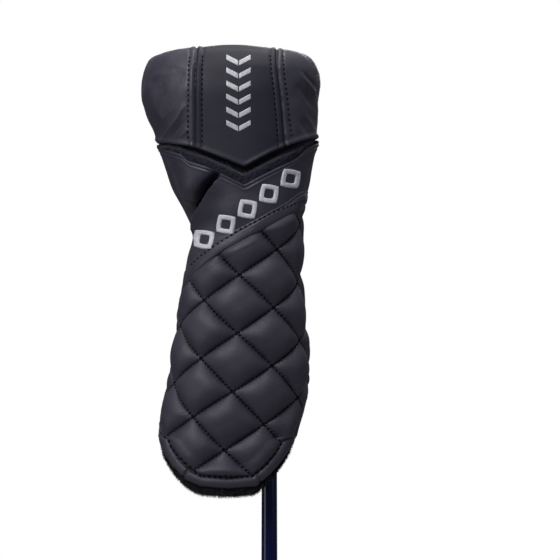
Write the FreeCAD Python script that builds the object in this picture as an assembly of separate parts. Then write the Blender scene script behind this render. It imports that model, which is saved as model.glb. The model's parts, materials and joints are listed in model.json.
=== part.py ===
import FreeCAD, Part
import math, os

# Fairway wood, right-handed, standing head up, wearing its fitted headcover.
# Frame, in millimetres: the origin is the centre of the grip cap's end face, +Z runs up the shaft
# towards the head, +X is the way the club face looks (towards the target), and the toe of the
# head leans towards +Y, so the sole and the printed side of the headcover look towards -Y.

V = FreeCAD.Vector
os.makedirs("parts", exist_ok=True)

# ------------------------------------------------------------------ driving dimensions
CLUB_LENGTH = 1092.0      # butt end to the point where the shaft axis meets the ground (43 in)
LIE_DEG = 57.0            # lie angle
LOFT_DEG = 15.0           # loft of the face
FACE_LEAD = 17.0          # leading edge ahead of the shaft axis
FACE_RADIUS = 300.0       # bulge and roll
FACE_THICK = 2.6

HOSEL_TOP = 62.0          # measured along the axis from the ground point
HOSEL_R = 6.9
BORE_R = 5.25             # hosel bore
ADAPTER_R = 5.20          # adapter running in it
BOLT_R = 2.40
BOLT_HOLE_R = 2.45

SHAFT_TIP_R = 4.45
SHAFT_BUTT_R = 7.65
SHAFT_TIP_D = 36.0        # tip stands this far up the axis from the ground point
SHAFT_TAPER_TOP = 75.0    # parallel butt section ends here
SHAFT_TAPER_END = 1012.0  # parallel tip section starts here

GRIP_LENGTH = 268.0
GRIP_BUTT_R = 13.3
GRIP_MOUTH_R = 8.9
CAP_THICK = 5.0
CAP_HOLE_R = 1.6
TAPE = 0.2

WEIGHT_R = 8.0
WEIGHT_H = 4.6
REAR_WEIGHT_R = 9.0

COVER_TOP = 50.0          # top of the headcover above the ground point, along +Z
LEATHER = 1.6             # leather of the head pocket and collar
PAD = 3.4                 # quilted sleeve, leather and wadding
FLEECE = 2.6              # lining pile

Z0 = CLUB_LENGTH
c = math.cos(math.radians(LIE_DEG))
s = math.sin(math.radians(LIE_DEG))
tl = math.tan(math.radians(LOFT_DEG))


def P(t, f, u):
    """Club address frame (target, heel-to-toe, height above ground) to the row frame."""
    return V(t, s * f + c * u, Z0 + c * f - s * u)


def save(name, shape):
    if shape.ShapeType == "Compound" and len(shape.Solids) == 1:
        shape = shape.Solids[0]
    sols = shape.Solids
    ok = all(x.isValid() for x in sols) and shape.isValid()
    print("%-22s solids %d valid %s vol %.1f cm3" % (name, len(sols), ok, shape.Volume / 1000.0))
    shape.exportStep("parts/%s.step" % name)


def cyl(r, z_low, z_high, x=0.0, y=0.0):
    return Part.makeCylinder(r, z_high - z_low, V(x, y, z_low), V(0, 0, 1))


def axis_z(d):
    """Row height of a point d up the shaft axis from the ground point."""
    return Z0 - d


def revolve(profile):
    """Closed (r, z) profile turned about the shaft axis."""
    pts = [V(r, 0, z) for r, z in profile]
    pts.append(pts[0])
    face = Part.Face(Part.makePolygon(pts))
    return face.revolve(V(0, 0, 0), V(0, 0, 1), 360)


def closed_spline(points):
    b = Part.BSplineCurve()
    b.interpolate(Points=points, PeriodicFlag=True)
    return Part.Wire([b.toShape()])


# ------------------------------------------------------------------ club head
# station: t, heel f, toe f, sole u, equator u, crown u, top exponent, bottom exponent, share of loft
STATIONS = [
    (24.0, -14.5, 79.0, 2.2, 15.0, 36.0, 2.7, 3.0, 1.00),
    (13.0, -16.5, 81.0, 0.9, 14.5, 37.6, 2.6, 2.9, 0.85),
    (1.0, -17.6, 82.0, 0.3, 14.0, 38.6, 2.5, 2.8, 0.55),
    (-13.0, -16.8, 81.4, 0.0, 13.6, 37.8, 2.4, 2.7, 0.25),
    (-27.0, -12.6, 78.6, 0.3, 13.2, 34.4, 2.3, 2.6, 0.0),
    (-40.0, -5.4, 72.6, 1.4, 12.8, 29.0, 2.2, 2.5, 0.0),
    (-50.0, 4.0, 64.4, 3.2, 12.5, 23.8, 2.1, 2.4, 0.0),
    (-57.0, 14.0, 55.2, 5.6, 12.3, 19.2, 2.0, 2.2, 0.0),
    (-61.0, 23.0, 46.6, 8.2, 12.2, 16.0, 2.0, 2.0, 0.0),
    (-63.0, 30.5, 39.0, 10.6, 12.2, 13.8, 2.0, 2.0, 0.0),
]


def section(st, inset_f=0.0, inset_top=0.0, inset_sole=0.0, dt=0.0, n=32):
    t, f0, f1, ub, um, ut, nt, nb, share = st
    f0 += inset_f
    f1 -= inset_f
    ub += inset_sole
    ut -= inset_top
    fc = 0.5 * (f0 + f1)
    a = 0.5 * (f1 - f0)
    pts = []
    for i in range(n):
        th = 2 * math.pi * i / n
        w = math.cos(th)
        sn = math.sin(th)
        if sn >= 0:
            e = nt
            h = abs(sn) ** (2.0 / e)
            f = fc + a * math.copysign(abs(w) ** (2.0 / e), w)
            # the crown peaks a little towards the toe and runs down to the heel
            k = (f - fc) / a
            u = um + (ut - um) * h * (1.0 - 0.10 * k * k + 0.05 * k)
        else:
            e = nb
            h = abs(sn) ** (2.0 / e)
            f = fc + a * math.copysign(abs(w) ** (2.0 / e), w)
            u = um - (um - ub) * h
        pts.append(P(t + dt - (u - 14.0) * tl * share, f, u))
    return closed_spline(pts)


outer = Part.makeLoft([section(q) for q in STATIONS], True, False)
inner_st = [(max(q[0], -60.2),) + q[1:] for q in STATIONS[:-1]]
inner = Part.makeLoft([section(q, 1.5, 1.1, 1.6) for q in inner_st[:-1]] +
                      [section(inner_st[-1], 3.0, 1.4, 1.8, dt=0.8)], True, False)

# bulge and roll: the face lies on a large sphere about the loft axis
fc_pt = P(FACE_LEAD - 14.0 * tl + 1.0, 34.0, 17.0)
ln = V(math.cos(math.radians(LOFT_DEG)), 0, 0) + (P(0, 0, 1) - P(0, 0, 0)) * math.sin(math.radians(LOFT_DEG))
ln.normalize()
ball = Part.makeSphere(FACE_RADIUS, fc_pt - ln * FACE_RADIUS)
ball_in = Part.makeSphere(FACE_RADIUS - FACE_THICK, fc_pt - ln * FACE_RADIUS)
body_o = outer.common(ball)
cavity = inner.common(ball_in)

# face insert: the outline of the face, drawn in a little, through the full face thickness
fu = P(0, 0, 1) - P(0, 0, 0)
ff = P(0, 1, 0) - P(0, 0, 0)
fx = V(1, 0, 0)
face_pts = []
for i in range(28):
    th = 2 * math.pi * i / 28
    w, sn = math.cos(th), math.sin(th)
    f = 33.0 + 39.0 * math.copysign(abs(w) ** (2 / 2.9), w)
    if sn >= 0:
        k = (f - 33.0) / 39.0
        u = 15.0 + 17.0 * abs(sn) ** (2 / 2.5) * (1 - 0.12 * k * k + 0.07 * k)
    else:
        u = 15.0 - 10.5 * abs(sn) ** (2 / 2.9)
    face_pts.append(fc_pt + ff * (f - 34.0) + (fu * math.cos(math.radians(LOFT_DEG)) - fx * math.sin(math.radians(LOFT_DEG))) * (u - 17.0) + ln * 12.0)
face_prism = Part.Face(closed_spline(face_pts)).extrude(ln * -24.0)
face_slab = ball.cut(ball_in)
face_insert = body_o.common(face_prism).common(face_slab)
for i in range(5):
    # score lines
    up = -7.0 + i * 3.6
    org = fc_pt + (fu * math.cos(math.radians(LOFT_DEG)) - fx * math.sin(math.radians(LOFT_DEG))) * up
    half = 23.0 if i % 2 == 0 else 21.0
    bx = Part.makeBox(2 * half, 0.8, 1.6)
    m = FreeCAD.Matrix()
    upv = fu * math.cos(math.radians(LOFT_DEG)) - fx * math.sin(math.radians(LOFT_DEG))
    a0 = org - ff * half - upv * 0.4 - ln * 0.45
    m.A11, m.A21, m.A31 = ff.x, ff.y, ff.z
    m.A12, m.A22, m.A32 = upv.x, upv.y, upv.z
    m.A13, m.A23, m.A33 = ln.x, ln.y, ln.z
    m.A14, m.A24, m.A34 = a0.x, a0.y, a0.z
    bx = bx.transformGeometry(m)
    face_insert = face_insert.cut(bx)

shell = body_o.cut(cavity)

# crown: everything above the crown seam, behind the top line and clear of the hosel
crown_tool = Part.makeBox(90, 140, 60, V(-88.0, -30, 0))
m = FreeCAD.Matrix()
slope = 0.17
# plane u = 23 + slope * t, so the seam drops towards the trailing edge
ex = V(1, 0, 0) + fu * slope
ex.normalize()
eu = fu - V(1, 0, 0) * slope
eu.normalize()
o = P(0, 0, 23.0)
m.A11, m.A21, m.A31 = ex.x, ex.y, ex.z
m.A12, m.A22, m.A32 = ff.x, ff.y, ff.z
m.A13, m.A23, m.A33 = eu.x, eu.y, eu.z
m.A14, m.A24, m.A34 = o.x, o.y, o.z
crown_tool = crown_tool.transformGeometry(m).cut(cyl(13.0, axis_z(90), axis_z(-30)))
crown = shell.common(crown_tool)
crown = max(crown.Solids, key=lambda q: q.Volume)

# hosel and its column down to the sole
hosel = revolve([(0, axis_z(HOSEL_TOP)), (HOSEL_R - 0.3, axis_z(HOSEL_TOP)), (HOSEL_R, axis_z(HOSEL_TOP - 0.3)),
                 (HOSEL_R + 0.05, axis_z(50)), (7.25, axis_z(43)), (7.9, axis_z(36)), (8.9, axis_z(30)),
                 (9.6, axis_z(25)), (9.6, axis_z(14)), (8.2, axis_z(8)), (8.2, axis_z(-16)), (0, axis_z(-16))])
column = hosel.common(Part.makeBox(60, 60, 200, V(-30, -30, axis_z(HOSEL_TOP + 5))))
inside = column.common(body_o.fuse(cyl(12.0, axis_z(70), axis_z(16))))


def on_sole(t, f, depth):
    return P(t, f, depth)


down = P(0, 0, -1) - P(0, 0, 0)
FW_T, FW_F = 0.0, 36.0
RW_T, RW_F = -44.0, 35.0


def pocket_cyl(t, f, u_low, u_high, r):
    return Part.makeCylinder(r, u_high - u_low, P(t, f, u_low), P(0, 0, 1) - P(0, 0, 0))


FW_U = 0.4     # outer face of the front weight above the ground
RW_U = 3.2
boss_f = pocket_cyl(FW_T, FW_F, -2, 13.0, 10.2).common(body_o)
boss_r = pocket_cyl(RW_T, RW_F, -2, 14.5, 11.2).common(body_o)
crown_zone = crown_tool.common(body_o)
head_shell = shell.fuse([inside, boss_f, boss_r]).cut(face_prism.common(face_slab)).cut(crown)
bores = [cyl(BORE_R, axis_z(HOSEL_TOP + 4), axis_z(22.0)),
         cyl(2.75, axis_z(30), axis_z(10)),
         cyl(4.7, axis_z(14.4), axis_z(-20)),
         pocket_cyl(FW_T, FW_F, -6, FW_U + WEIGHT_H + 0.3, WEIGHT_R + 0.06),
         pocket_cyl(FW_T, FW_F, 0, FW_U + WEIGHT_H + 6.3, 3.06),
         pocket_cyl(RW_T, RW_F, -6, RW_U + WEIGHT_H + 0.3, REAR_WEIGHT_R + 0.06),
         pocket_cyl(RW_T, RW_F, 0, RW_U + WEIGHT_H + 6.3, 3.06)]
for b in bores:
    head_shell = head_shell.cut(b)
head_shell = max(head_shell.Solids, key=lambda q: q.Volume)


def star(r, lobes, t, f, u0, u1):
    """Lobed driver socket as a prism along the sole normal."""
    pts = []
    for i in range(lobes * 4):
        th = 2 * math.pi * i / (lobes * 4)
        q = r * (1.0 + 0.13 * math.cos(lobes * th))
        pts.append(P(t + q * math.cos(th), f + q * math.sin(th), u0))
    return Part.Face(closed_spline(pts)).extrude(P(0, 0, u1) - P(0, 0, u0))


def weight(t, f, u, r):
    w = pocket_cyl(t, f, u, u + WEIGHT_H, r)
    try:
        ed = [e for e in w.Edges if abs(e.BoundBox.Center.sub(P(t, f, u)).Length) < 0.5 and len(e.Vertexes) == 1]
        w = w.makeChamfer(0.6, ed)
    except Exception:
        pass
    w = w.fuse(pocket_cyl(t, f, u + WEIGHT_H - 0.5, u + WEIGHT_H + 5.8, 3.0))
    return w.cut(star(2.7, 6, t, f, u - 0.5, u + 3.0)).removeSplitter()


front_weight = weight(FW_T, FW_F, FW_U, WEIGHT_R)
rear_weight = weight(RW_T, RW_F, RW_U, REAR_WEIGHT_R)

save("head_shell", head_shell)
save("face_insert", face_insert)
save("crown", crown)
save("front_weight", front_weight)
save("rear_weight", rear_weight)

# ------------------------------------------------------------------ shaft connection
adapter = revolve([(2.45, axis_z(23.0)), (ADAPTER_R - 0.4, axis_z(23.0)), (ADAPTER_R, axis_z(23.4)), (ADAPTER_R, axis_z(66.0)),
                   (SHAFT_TIP_R + 0.02, axis_z(66.0)), (SHAFT_TIP_R + 0.02, axis_z(36.0)), (2.45, axis_z(36.0))])
for i in range(4):
    # anti-rotation keys at the foot of the adapter are cut as shallow flutes
    a = math.radians(45 + 90 * i)
    adapter = adapter.cut(cyl(0.7, axis_z(30.0), axis_z(20.0), (ADAPTER_R + 0.2) * math.cos(a), (ADAPTER_R + 0.2) * math.sin(a)))
ring = revolve([(ADAPTER_R + 0.01, axis_z(62.3)), (HOSEL_R - 0.2, axis_z(62.3)), (HOSEL_R, axis_z(62.5)), (HOSEL_R, axis_z(66.0)),
                (ADAPTER_R + 0.01, axis_z(66.0))])
for i in range(8):
    a = math.radians(45 * i)
    ring = ring.cut(cyl(0.45, axis_z(66.1), axis_z(62.2), (HOSEL_R + 0.12) * math.cos(a), (HOSEL_R + 0.12) * math.sin(a)))
bolt = revolve([(0, axis_z(7.0)), (3.9, axis_z(7.0)), (4.2, axis_z(7.3)), (4.2, axis_z(13.0)), (BOLT_R, axis_z(13.0)),
                (BOLT_R, axis_z(33.5)), (BOLT_R - 0.5, axis_z(34.0)), (0, axis_z(34.0))])
spts = []
for i in range(24):
    th = 2 * math.pi * i / 24
    q = 2.3 * (1.0 + 0.13 * math.cos(6 * th))
    spts.append(V(q * math.cos(th), q * math.sin(th), axis_z(10.5)))
bolt = bolt.cut(Part.Face(closed_spline(spts)).extrude(V(0, 0, 6)))
washer = revolve([(BOLT_R + 0.1, axis_z(13.0)), (4.3, axis_z(13.0)), (4.3, axis_z(14.0)), (BOLT_R + 0.1, axis_z(14.0))])
save("hosel_adapter", adapter)
save("adjuster_ring", ring)
save("hosel_bolt", bolt)
save("bolt_washer", washer)


def shaft_r(z):
    if z <= SHAFT_TAPER_TOP:
        return SHAFT_BUTT_R
    if z >= SHAFT_TAPER_END:
        return SHAFT_TIP_R
    return SHAFT_BUTT_R + (SHAFT_TIP_R - SHAFT_BUTT_R) * (z - SHAFT_TAPER_TOP) / (SHAFT_TAPER_END - SHAFT_TAPER_TOP)


tip_z = axis_z(SHAFT_TIP_D) - 0.05
shaft = revolve([(SHAFT_BUTT_R - 1.0, CAP_THICK), (SHAFT_BUTT_R, CAP_THICK), (SHAFT_BUTT_R, SHAFT_TAPER_TOP),
                 (SHAFT_TIP_R, SHAFT_TAPER_END), (SHAFT_TIP_R, tip_z), (SHAFT_TIP_R - 1.45, tip_z),
                 (SHAFT_TIP_R - 1.45, SHAFT_TAPER_END), (SHAFT_BUTT_R - 1.0, SHAFT_TAPER_TOP)])
save("shaft", shaft)
plug = cyl(SHAFT_TIP_R - 1.45 - 0.02, tip_z - 9.0, tip_z)
save("tip_plug", plug)
zf0, zf1 = axis_z(66.0), axis_z(92.0)
ferrule = revolve([(SHAFT_TIP_R + 0.02, zf0), (HOSEL_R, zf0), (HOSEL_R, zf0 - 3.0), (6.3, zf0 - 12.0), (5.3, zf0 - 22.0),
                   (SHAFT_TIP_R + 0.35, zf1), (SHAFT_TIP_R + 0.12, zf1 - 0.3), (SHAFT_TIP_R + 0.12, zf1), (shaft_r(zf1) + 0.02, zf1)])
ferrule = revolve([(SHAFT_TIP_R + 0.02, zf0), (HOSEL_R, zf0), (HOSEL_R, zf0 - 3.0), (6.3, zf0 - 12.0), (5.5, zf0 - 21.0),
                   (SHAFT_TIP_R + 0.4, zf1), (shaft_r(zf1) + 0.02, zf1), (SHAFT_TIP_R + 0.02, SHAFT_TAPER_END)])
save("ferrule", ferrule)


def grip_r(z):
    k = (z - 6.0) / (GRIP_LENGTH - 6.0)
    return GRIP_BUTT_R - 0.7 + (GRIP_MOUTH_R + 0.2 - (GRIP_BUTT_R - 0.7)) * (k ** 0.8 if k > 0 else 0)


tape_prof = [(shaft_r(z) + 0.0, z) for z in (6.0, SHAFT_TAPER_TOP, GRIP_LENGTH - 2.0)]
tape = revolve(tape_prof + [(r + TAPE, z) for r, z in reversed(tape_prof)])
save("grip_tape", tape)
gin = [(shaft_r(z) + TAPE + 0.01, z) for z in (5.0, SHAFT_TAPER_TOP, GRIP_LENGTH)]
gout = [(GRIP_BUTT_R, 5.0), (GRIP_BUTT_R - 0.1, 7.5), (GRIP_BUTT_R - 0.6, 11.0)] + [(grip_r(z), z) for z in (20, 50, 90, 130, 180, 230)] + \
       [(GRIP_MOUTH_R + 0.35, GRIP_LENGTH - 8.0), (GRIP_MOUTH_R + 0.9, GRIP_LENGTH - 6.0), (GRIP_MOUTH_R + 0.9, GRIP_LENGTH - 1.5), (GRIP_MOUTH_R + 0.3, GRIP_LENGTH)]
grip = revolve(gout + list(reversed(gin)))
save("grip", grip)
cap = revolve([(CAP_HOLE_R, 0), (GRIP_BUTT_R - 2.6, 0), (GRIP_BUTT_R - 1.2, 0.5), (GRIP_BUTT_R - 0.3, 1.7), (GRIP_BUTT_R, 3.2),
               (GRIP_BUTT_R, CAP_THICK), (CAP_HOLE_R, CAP_THICK)])
save("grip_cap", cap)

# ------------------------------------------------------------------ headcover
# level above the ground point, outline low x, high x, front y, back y, squareness
RINGS = [
    (50.0, -46.0, -2.0, 12.0, 52.0, 2.3),
    (48.2, -62.5, 15.5, -2.0, 67.0, 2.6),
    (44.6, -71.5, 25.0, -10.5, 79.0, 2.9),
    (36.0, -78.6, 31.0, -17.5, 88.0, 3.0),
    (20.0, -81.4, 32.2, -22.0, 93.0, 3.0),
    (2.0, -76.6, 31.0, -23.0, 93.0, 2.9),
    (-12.0, -72.0, 31.2, -23.6, 90.0, 2.8),
    (-24.0, -68.0, 28.2, -24.2, 80.0, 2.6),
    (-40.0, -62.2, 25.0, -24.8, 60.0, 2.4),
    (-56.0, -54.0, 22.4, -25.0, 43.0, 2.3),
    (-68.0, -49.0, 20.6, -24.5, 36.0, 2.2),
    (-82.0, -51.2, 20.6, -25.8, 35.0, 2.2),
    (-104.0, -55.2, 21.4, -28.4, 36.0, 2.3),
    (-134.0, -60.2, 24.2, -30.6, 38.0, 2.4),
    (-170.0, -66.0, 24.6, -32.2, 39.5, 2.4),
    (-205.0, -71.0, 21.0, -33.0, 39.0, 2.4),
    (-242.0, -72.5, 19.0, -33.0, 38.0, 2.4),
]


def wall(z, pocket, sleeve):
    """Thickness that passes from the pocket's to the sleeve's through the waist."""
    if z > -50:
        return pocket
    if z < -74:
        return sleeve
    k = (-50 - z) / 24.0
    return pocket + (sleeve - pocket) * k


def cover_loft(pocket, sleeve):
    wires = []
    n = 20
    for z, x0, x1, y0, y1, e in RINGS:
        off = wall(z, pocket, sleeve)
        zz = z
        if z > 14:
            zz = z - off * ((z - 14.0) / 36.0)
        xc, yc = 0.5 * (x0 + x1), 0.5 * (y0 + y1)
        a, b = 0.5 * (x1 - x0) - off, 0.5 * (y1 - y0) - off
        pts = []
        for i in range(n):
            th = 2 * math.pi * (i + 0.5) / n
            cx, sy = math.cos(th), math.sin(th)
            pts.append(V(xc + a * math.copysign(abs(cx) ** (2 / e), cx), yc + b * math.copysign(abs(sy) ** (2 / e), sy), Z0 + zz))
        wires.append(closed_spline(pts))
    return Part.makeLoft(wires, True, False)


def prism(pts, y0, y1):
    p = [V(x, y0, Z0 + z) for x, z in pts]
    p.append(p[0])
    return Part.Face(Part.makePolygon(p)).extrude(V(0, y1 - y0, 0))


E0 = cover_loft(0.0, 0.0)
E1 = cover_loft(LEATHER, PAD)
E2 = cover_loft(LEATHER + FLEECE, PAD + FLEECE)
leather = E0.cut(E1)
lining = E1.cut(E2)

FAR = 160.0
MID = 33.0          # pocket's front and back halves meet here
SLEEVE_MID = 3.0    # sleeve's front and back panels meet here

# piled gusset: a V across the front, level round the back
V_TOP = [(-FAR, -11.0), (-70.0, -11.0), (-50.8, -13.4), (-42.5, -16.2), (-26.5, -22.3), (-16.0, -26.4), (0.5, -17.8), (13.9, -12.0), (31.2, -8.4), (FAR, -8.4)]
V_LOW = [(-FAR, -15.0), (-68.0, -15.0), (-55.9, -18.2), (-38.8, -26.4), (-26.5, -32.2), (-16.0, -37.6), (-4.0, -31.3), (18.4, -20.1), (22.2, -15.0), (31.2, -11.6), (FAR, -11.6)]
B_TOP = [(-FAR, -11.0), (-70.0, -11.0), (31.2, -8.4), (FAR, -8.4)]
B_LOW = [(-FAR, -15.0), (-68.0, -15.0), (31.2, -11.6), (FAR, -11.6)]
TOPZ = 80.0


def above(line_f, line_b):
    f = prism(line_f + [(FAR, TOPZ), (-FAR, TOPZ)], -120, MID)
    b = prism(line_b + [(FAR, TOPZ), (-FAR, TOPZ)], MID, 200)
    return f.fuse(b)


up_top = above(V_TOP, B_TOP)
up_low = above(V_LOW, B_LOW)

# collar's lower edge, on the slant
SL = [(-FAR, -108.0), (-60.0, -108.0), (-49.7, -96.4), (-27.2, -79.6), (-4.7, -67.2), (16.8, -55.5), (30.0, -49.5), (FAR, -49.5)]
HEM_W = 6.0
SLU = [(x, z + HEM_W) for x, z in SL]
up_sl = prism(SL + [(FAR, TOPZ), (-FAR, TOPZ)], -120, 200)
up_slu = prism(SLU + [(FAR, TOPZ), (-FAR, TOPZ)], -120, 200)

pocket = leather.common(up_top)
SEAM_L = -47.7
seam_r = [(4.2, TOPZ), (4.7, 43.3), (10.0, -10.5), (14.0, -60.0), (FAR, -60.0), (FAR, TOPZ)]
right_tool = prism(seam_r, -120, 200)
left_tool = Part.makeBox(200, 400, 400, V(SEAM_L - 200, -120, Z0 - 100))
left_panel = pocket.common(left_tool)
right_panel = pocket.common(right_tool)
centre = pocket.cut(left_tool).cut(right_tool)
back_tool = Part.makeBox(400, 300, 400, V(-200, 52.0, Z0 - 100))
centre_front = centre.cut(back_tool)
centre_back = centre.common(back_tool)
v_band = leather.common(up_low).cut(up_top)
collar = leather.common(up_sl).cut(up_low)
sleeve_all = leather.cut(up_sl)

HEM_F = [(-95.0, -60.0), (-95.0, -180.0), (-76.0, -186.0), (-70.7, -199.6), (-70.0, -205.4), (-62.3, -217.8), (-53.3, -226.8), (-44.4, -231.0),
         (-26.4, -232.4), (-8.5, -231.0), (0.4, -223.4), (9.4, -212.7), (15.5, -203.1), (21.0, -186.0), (32.0, -178.0), (60.0, -176.0), (60.0, -60.0)]
SEW_F = [(-95.0, -60.0), (-95.0, -172.0), (-72.0, -178.0), (-64.5, -200.0), (-59.5, -209.0), (-53.2, -216.0), (-48.7, -220.0), (-44.2, -224.4),
         (-12.8, -225.0), (-9.2, -223.4), (-1.1, -216.2), (9.4, -202.0), (15.0, -184.0), (28.0, -171.0), (60.0, -169.0), (60.0, -60.0)]
LIN_F = [(x, z - 4.5) if z < -100 else (x, z) for x, z in HEM_F]
BACK_HEM = -177.0
half_f = Part.makeBox(400, 120 + SLEEVE_MID, 400, V(-200, -120, Z0 - 300))
half_b = Part.makeBox(400, 200, 400, V(-200, SLEEVE_MID, Z0 - 300))
front_keep = prism(HEM_F, -120, SLEEVE_MID)
front_sew = prism(SEW_F, -120, SLEEVE_MID)
back_keep = Part.makeBox(400, 200, 400, V(-200, SLEEVE_MID, Z0 + BACK_HEM))
back_sew = Part.makeBox(400, 200, 400, V(-200, SLEEVE_MID, Z0 + BACK_HEM + 7.0))
back_lin = Part.makeBox(400, 200, 400, V(-200, SLEEVE_MID, Z0 + BACK_HEM - 4.5))
front_lin = prism(LIN_F, -120, SLEEVE_MID)

sleeve_front = sleeve_all.common(front_sew)
front_hem = sleeve_all.common(front_keep).cut(front_sew)
sleeve_back = sleeve_all.common(back_sew)
back_hem = sleeve_all.common(back_keep).cut(back_sew)

el_lo, el_hi = -72.0, -62.0
EL = cover_loft(LEATHER + 1.0, PAD + 1.0)
elastic = E1.cut(EL).common(Part.makeBox(400, 400, el_hi - el_lo, V(-200, -150, Z0 + el_lo)))
pocket_lining = lining.common(up_sl).cut(elastic)
sleeve_lining = lining.cut(up_sl).cut(elastic).common(front_lin.fuse(back_lin))

EH = cover_loft(-0.9, -0.9)
collar_hem = EH.cut(E0).common(up_sl).cut(up_slu)

# plain raised marks: a column of slim chevrons on the pocket, a row of diamonds on the collar.
# Each is a thin flat plate standing just proud of the leather.


def front_y(x, z):
    """Front surface of the cover at a point of the front view."""
    for (za, a0, a1, af, ab, ea), (zb, b0, b1, bf, bb, eb) in zip(RINGS[:-1], RINGS[1:]):
        if zb <= z <= za:
            k = (za - z) / (za - zb)
            x0, x1 = a0 + (b0 - a0) * k, a1 + (b1 - a1) * k
            yf, yb, e = af + (bf - af) * k, ab + (bb - ab) * k, ea + (eb - ea) * k
            xc, yc = 0.5 * (x0 + x1), 0.5 * (yf + yb)
            w = min(1.0, abs((x - xc) / (0.5 * (x1 - x0))))
            return yc - 0.5 * (yb - yf) * (1.0 - w ** e) ** (1.0 / e)
    return 0.0


def plate(pts, holes, thick, gap, under):
    """Flat plate at the front, stepped forwards until it clears what lies under it, then by the gap."""
    y = min(front_y(x, z) for x, z in pts)
    p = prism(pts, y - thick, y)
    for h in holes:
        p = p.cut(prism(h, y - thick - 1, y + 1))
    for _ in range(16):
        if sum(p.common(u).Volume for u in under) < 0.001:
            break
        p.translate(V(0, -0.12, 0))
    p.translate(V(0, -gap, 0))
    return p


bars = []
for i in range(6):
    z = 41.0 - i * 7.6
    bars.append(plate([(-27.5, z), (-27.5, z - 3.6), (-20.0, z - 6.2), (-12.5, z - 3.6), (-12.5, z), (-20.0, z - 2.6)], [], 0.4, 0.15, [centre_front]))
printed = Part.makeCompound(bars)
row = []
dx, dz = 0.873, 0.487
for i in range(5):
    cx, cz = -38.5 + i * 14.2 * dx, -72.6 + i * 14.2 * dz * 1.08
    hw, hh = 5.6, 6.8
    o4 = [(cx - hw * dx, cz - hw * dz), (cx + hh * dz, cz - hh * dx), (cx + hw * dx, cz + hw * dz), (cx - hh * dz, cz + hh * dx)]
    i4 = [(cx + (x - cx) * 0.5, cz + (z - cz) * 0.5) for x, z in o4]
    row.append(plate(o4, [i4], 0.6, 0.15, [collar, collar_hem]))
stitched = Part.makeCompound(row)

for nm, sh in (("centre_front_panel", centre_front), ("centre_back_panel", centre_back), ("left_side_panel", left_panel),
               ("right_side_panel", right_panel), ("gusset_band", v_band), ("collar", collar), ("collar_hem", collar_hem),
               ("sleeve_front", sleeve_front), ("sleeve_back", sleeve_back), ("front_hem", front_hem), ("back_hem", back_hem),
               ("waist_elastic", elastic), ("pocket_lining", pocket_lining), ("sleeve_lining", sleeve_lining),
               ("printed_bars", printed), ("stitched_diamonds", stitched)):
    save(nm, sh)
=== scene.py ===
import bpy, math, json
import numpy as np
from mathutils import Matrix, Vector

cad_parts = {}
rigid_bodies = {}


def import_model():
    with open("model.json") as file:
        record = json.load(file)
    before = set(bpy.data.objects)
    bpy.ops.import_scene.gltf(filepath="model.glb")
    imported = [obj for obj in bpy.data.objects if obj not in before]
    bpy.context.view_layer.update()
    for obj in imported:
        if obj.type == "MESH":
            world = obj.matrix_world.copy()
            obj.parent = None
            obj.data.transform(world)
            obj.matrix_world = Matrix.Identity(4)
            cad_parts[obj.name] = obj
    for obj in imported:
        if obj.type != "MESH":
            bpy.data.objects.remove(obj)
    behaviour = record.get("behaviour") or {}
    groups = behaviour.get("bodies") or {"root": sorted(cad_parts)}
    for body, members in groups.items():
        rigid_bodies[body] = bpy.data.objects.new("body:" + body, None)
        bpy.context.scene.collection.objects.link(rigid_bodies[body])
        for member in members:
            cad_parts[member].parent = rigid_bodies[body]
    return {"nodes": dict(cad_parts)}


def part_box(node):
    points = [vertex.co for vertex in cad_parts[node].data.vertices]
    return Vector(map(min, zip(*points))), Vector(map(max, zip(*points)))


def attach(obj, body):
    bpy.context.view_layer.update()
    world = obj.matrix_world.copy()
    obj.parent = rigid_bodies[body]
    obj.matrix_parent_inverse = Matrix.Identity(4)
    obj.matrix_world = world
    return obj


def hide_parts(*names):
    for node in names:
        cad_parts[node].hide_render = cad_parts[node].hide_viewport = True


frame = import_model()
for o in [o for o in bpy.data.objects if o.name in ("Cube", "Light", "Camera")]:
    bpy.data.objects.remove(o)
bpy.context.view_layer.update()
rng = np.random.default_rng(7)

# ------------------------------------------------------------------ camera (millimetres, then metres)
# everything is placed from two CAD pieces: the shaft's axis, and the top of the centre panel,
# which is 50 mm above the club's ground point
LOW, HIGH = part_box("shaft")
X0, Y0 = round((LOW.x + HIGH.x) * 500, 1), round((LOW.y + HIGH.y) * 500, 1)
Z0 = round(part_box("centre_front_panel")[1].z * 1000, 1) - 50.0
K = 0.64            # outlines below are in front-view units of 0.64 mm at the shaft's plane, 280 on its middle
DIST = 1300.0       # camera to the shaft's plane
CX, CZ = 6.85, -98.8


def scale_at(y):
    return K * (DIST + y) / DIST


cam_data = bpy.data.cameras.new("camera")
cam = bpy.data.objects.new("camera", cam_data)
bpy.context.scene.collection.objects.link(cam)
cam.location = ((X0 + CX) / 1000, (Y0 - DIST) / 1000, (Z0 + CZ) / 1000)
cam.rotation_euler = (math.radians(90), 0, 0)
cam_data.sensor_width = 36.0
cam_data.lens = 36.0 * DIST / (K * 560.0)
cam_data.clip_start, cam_data.clip_end = 0.05, 50
bpy.context.scene.camera = cam

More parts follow.
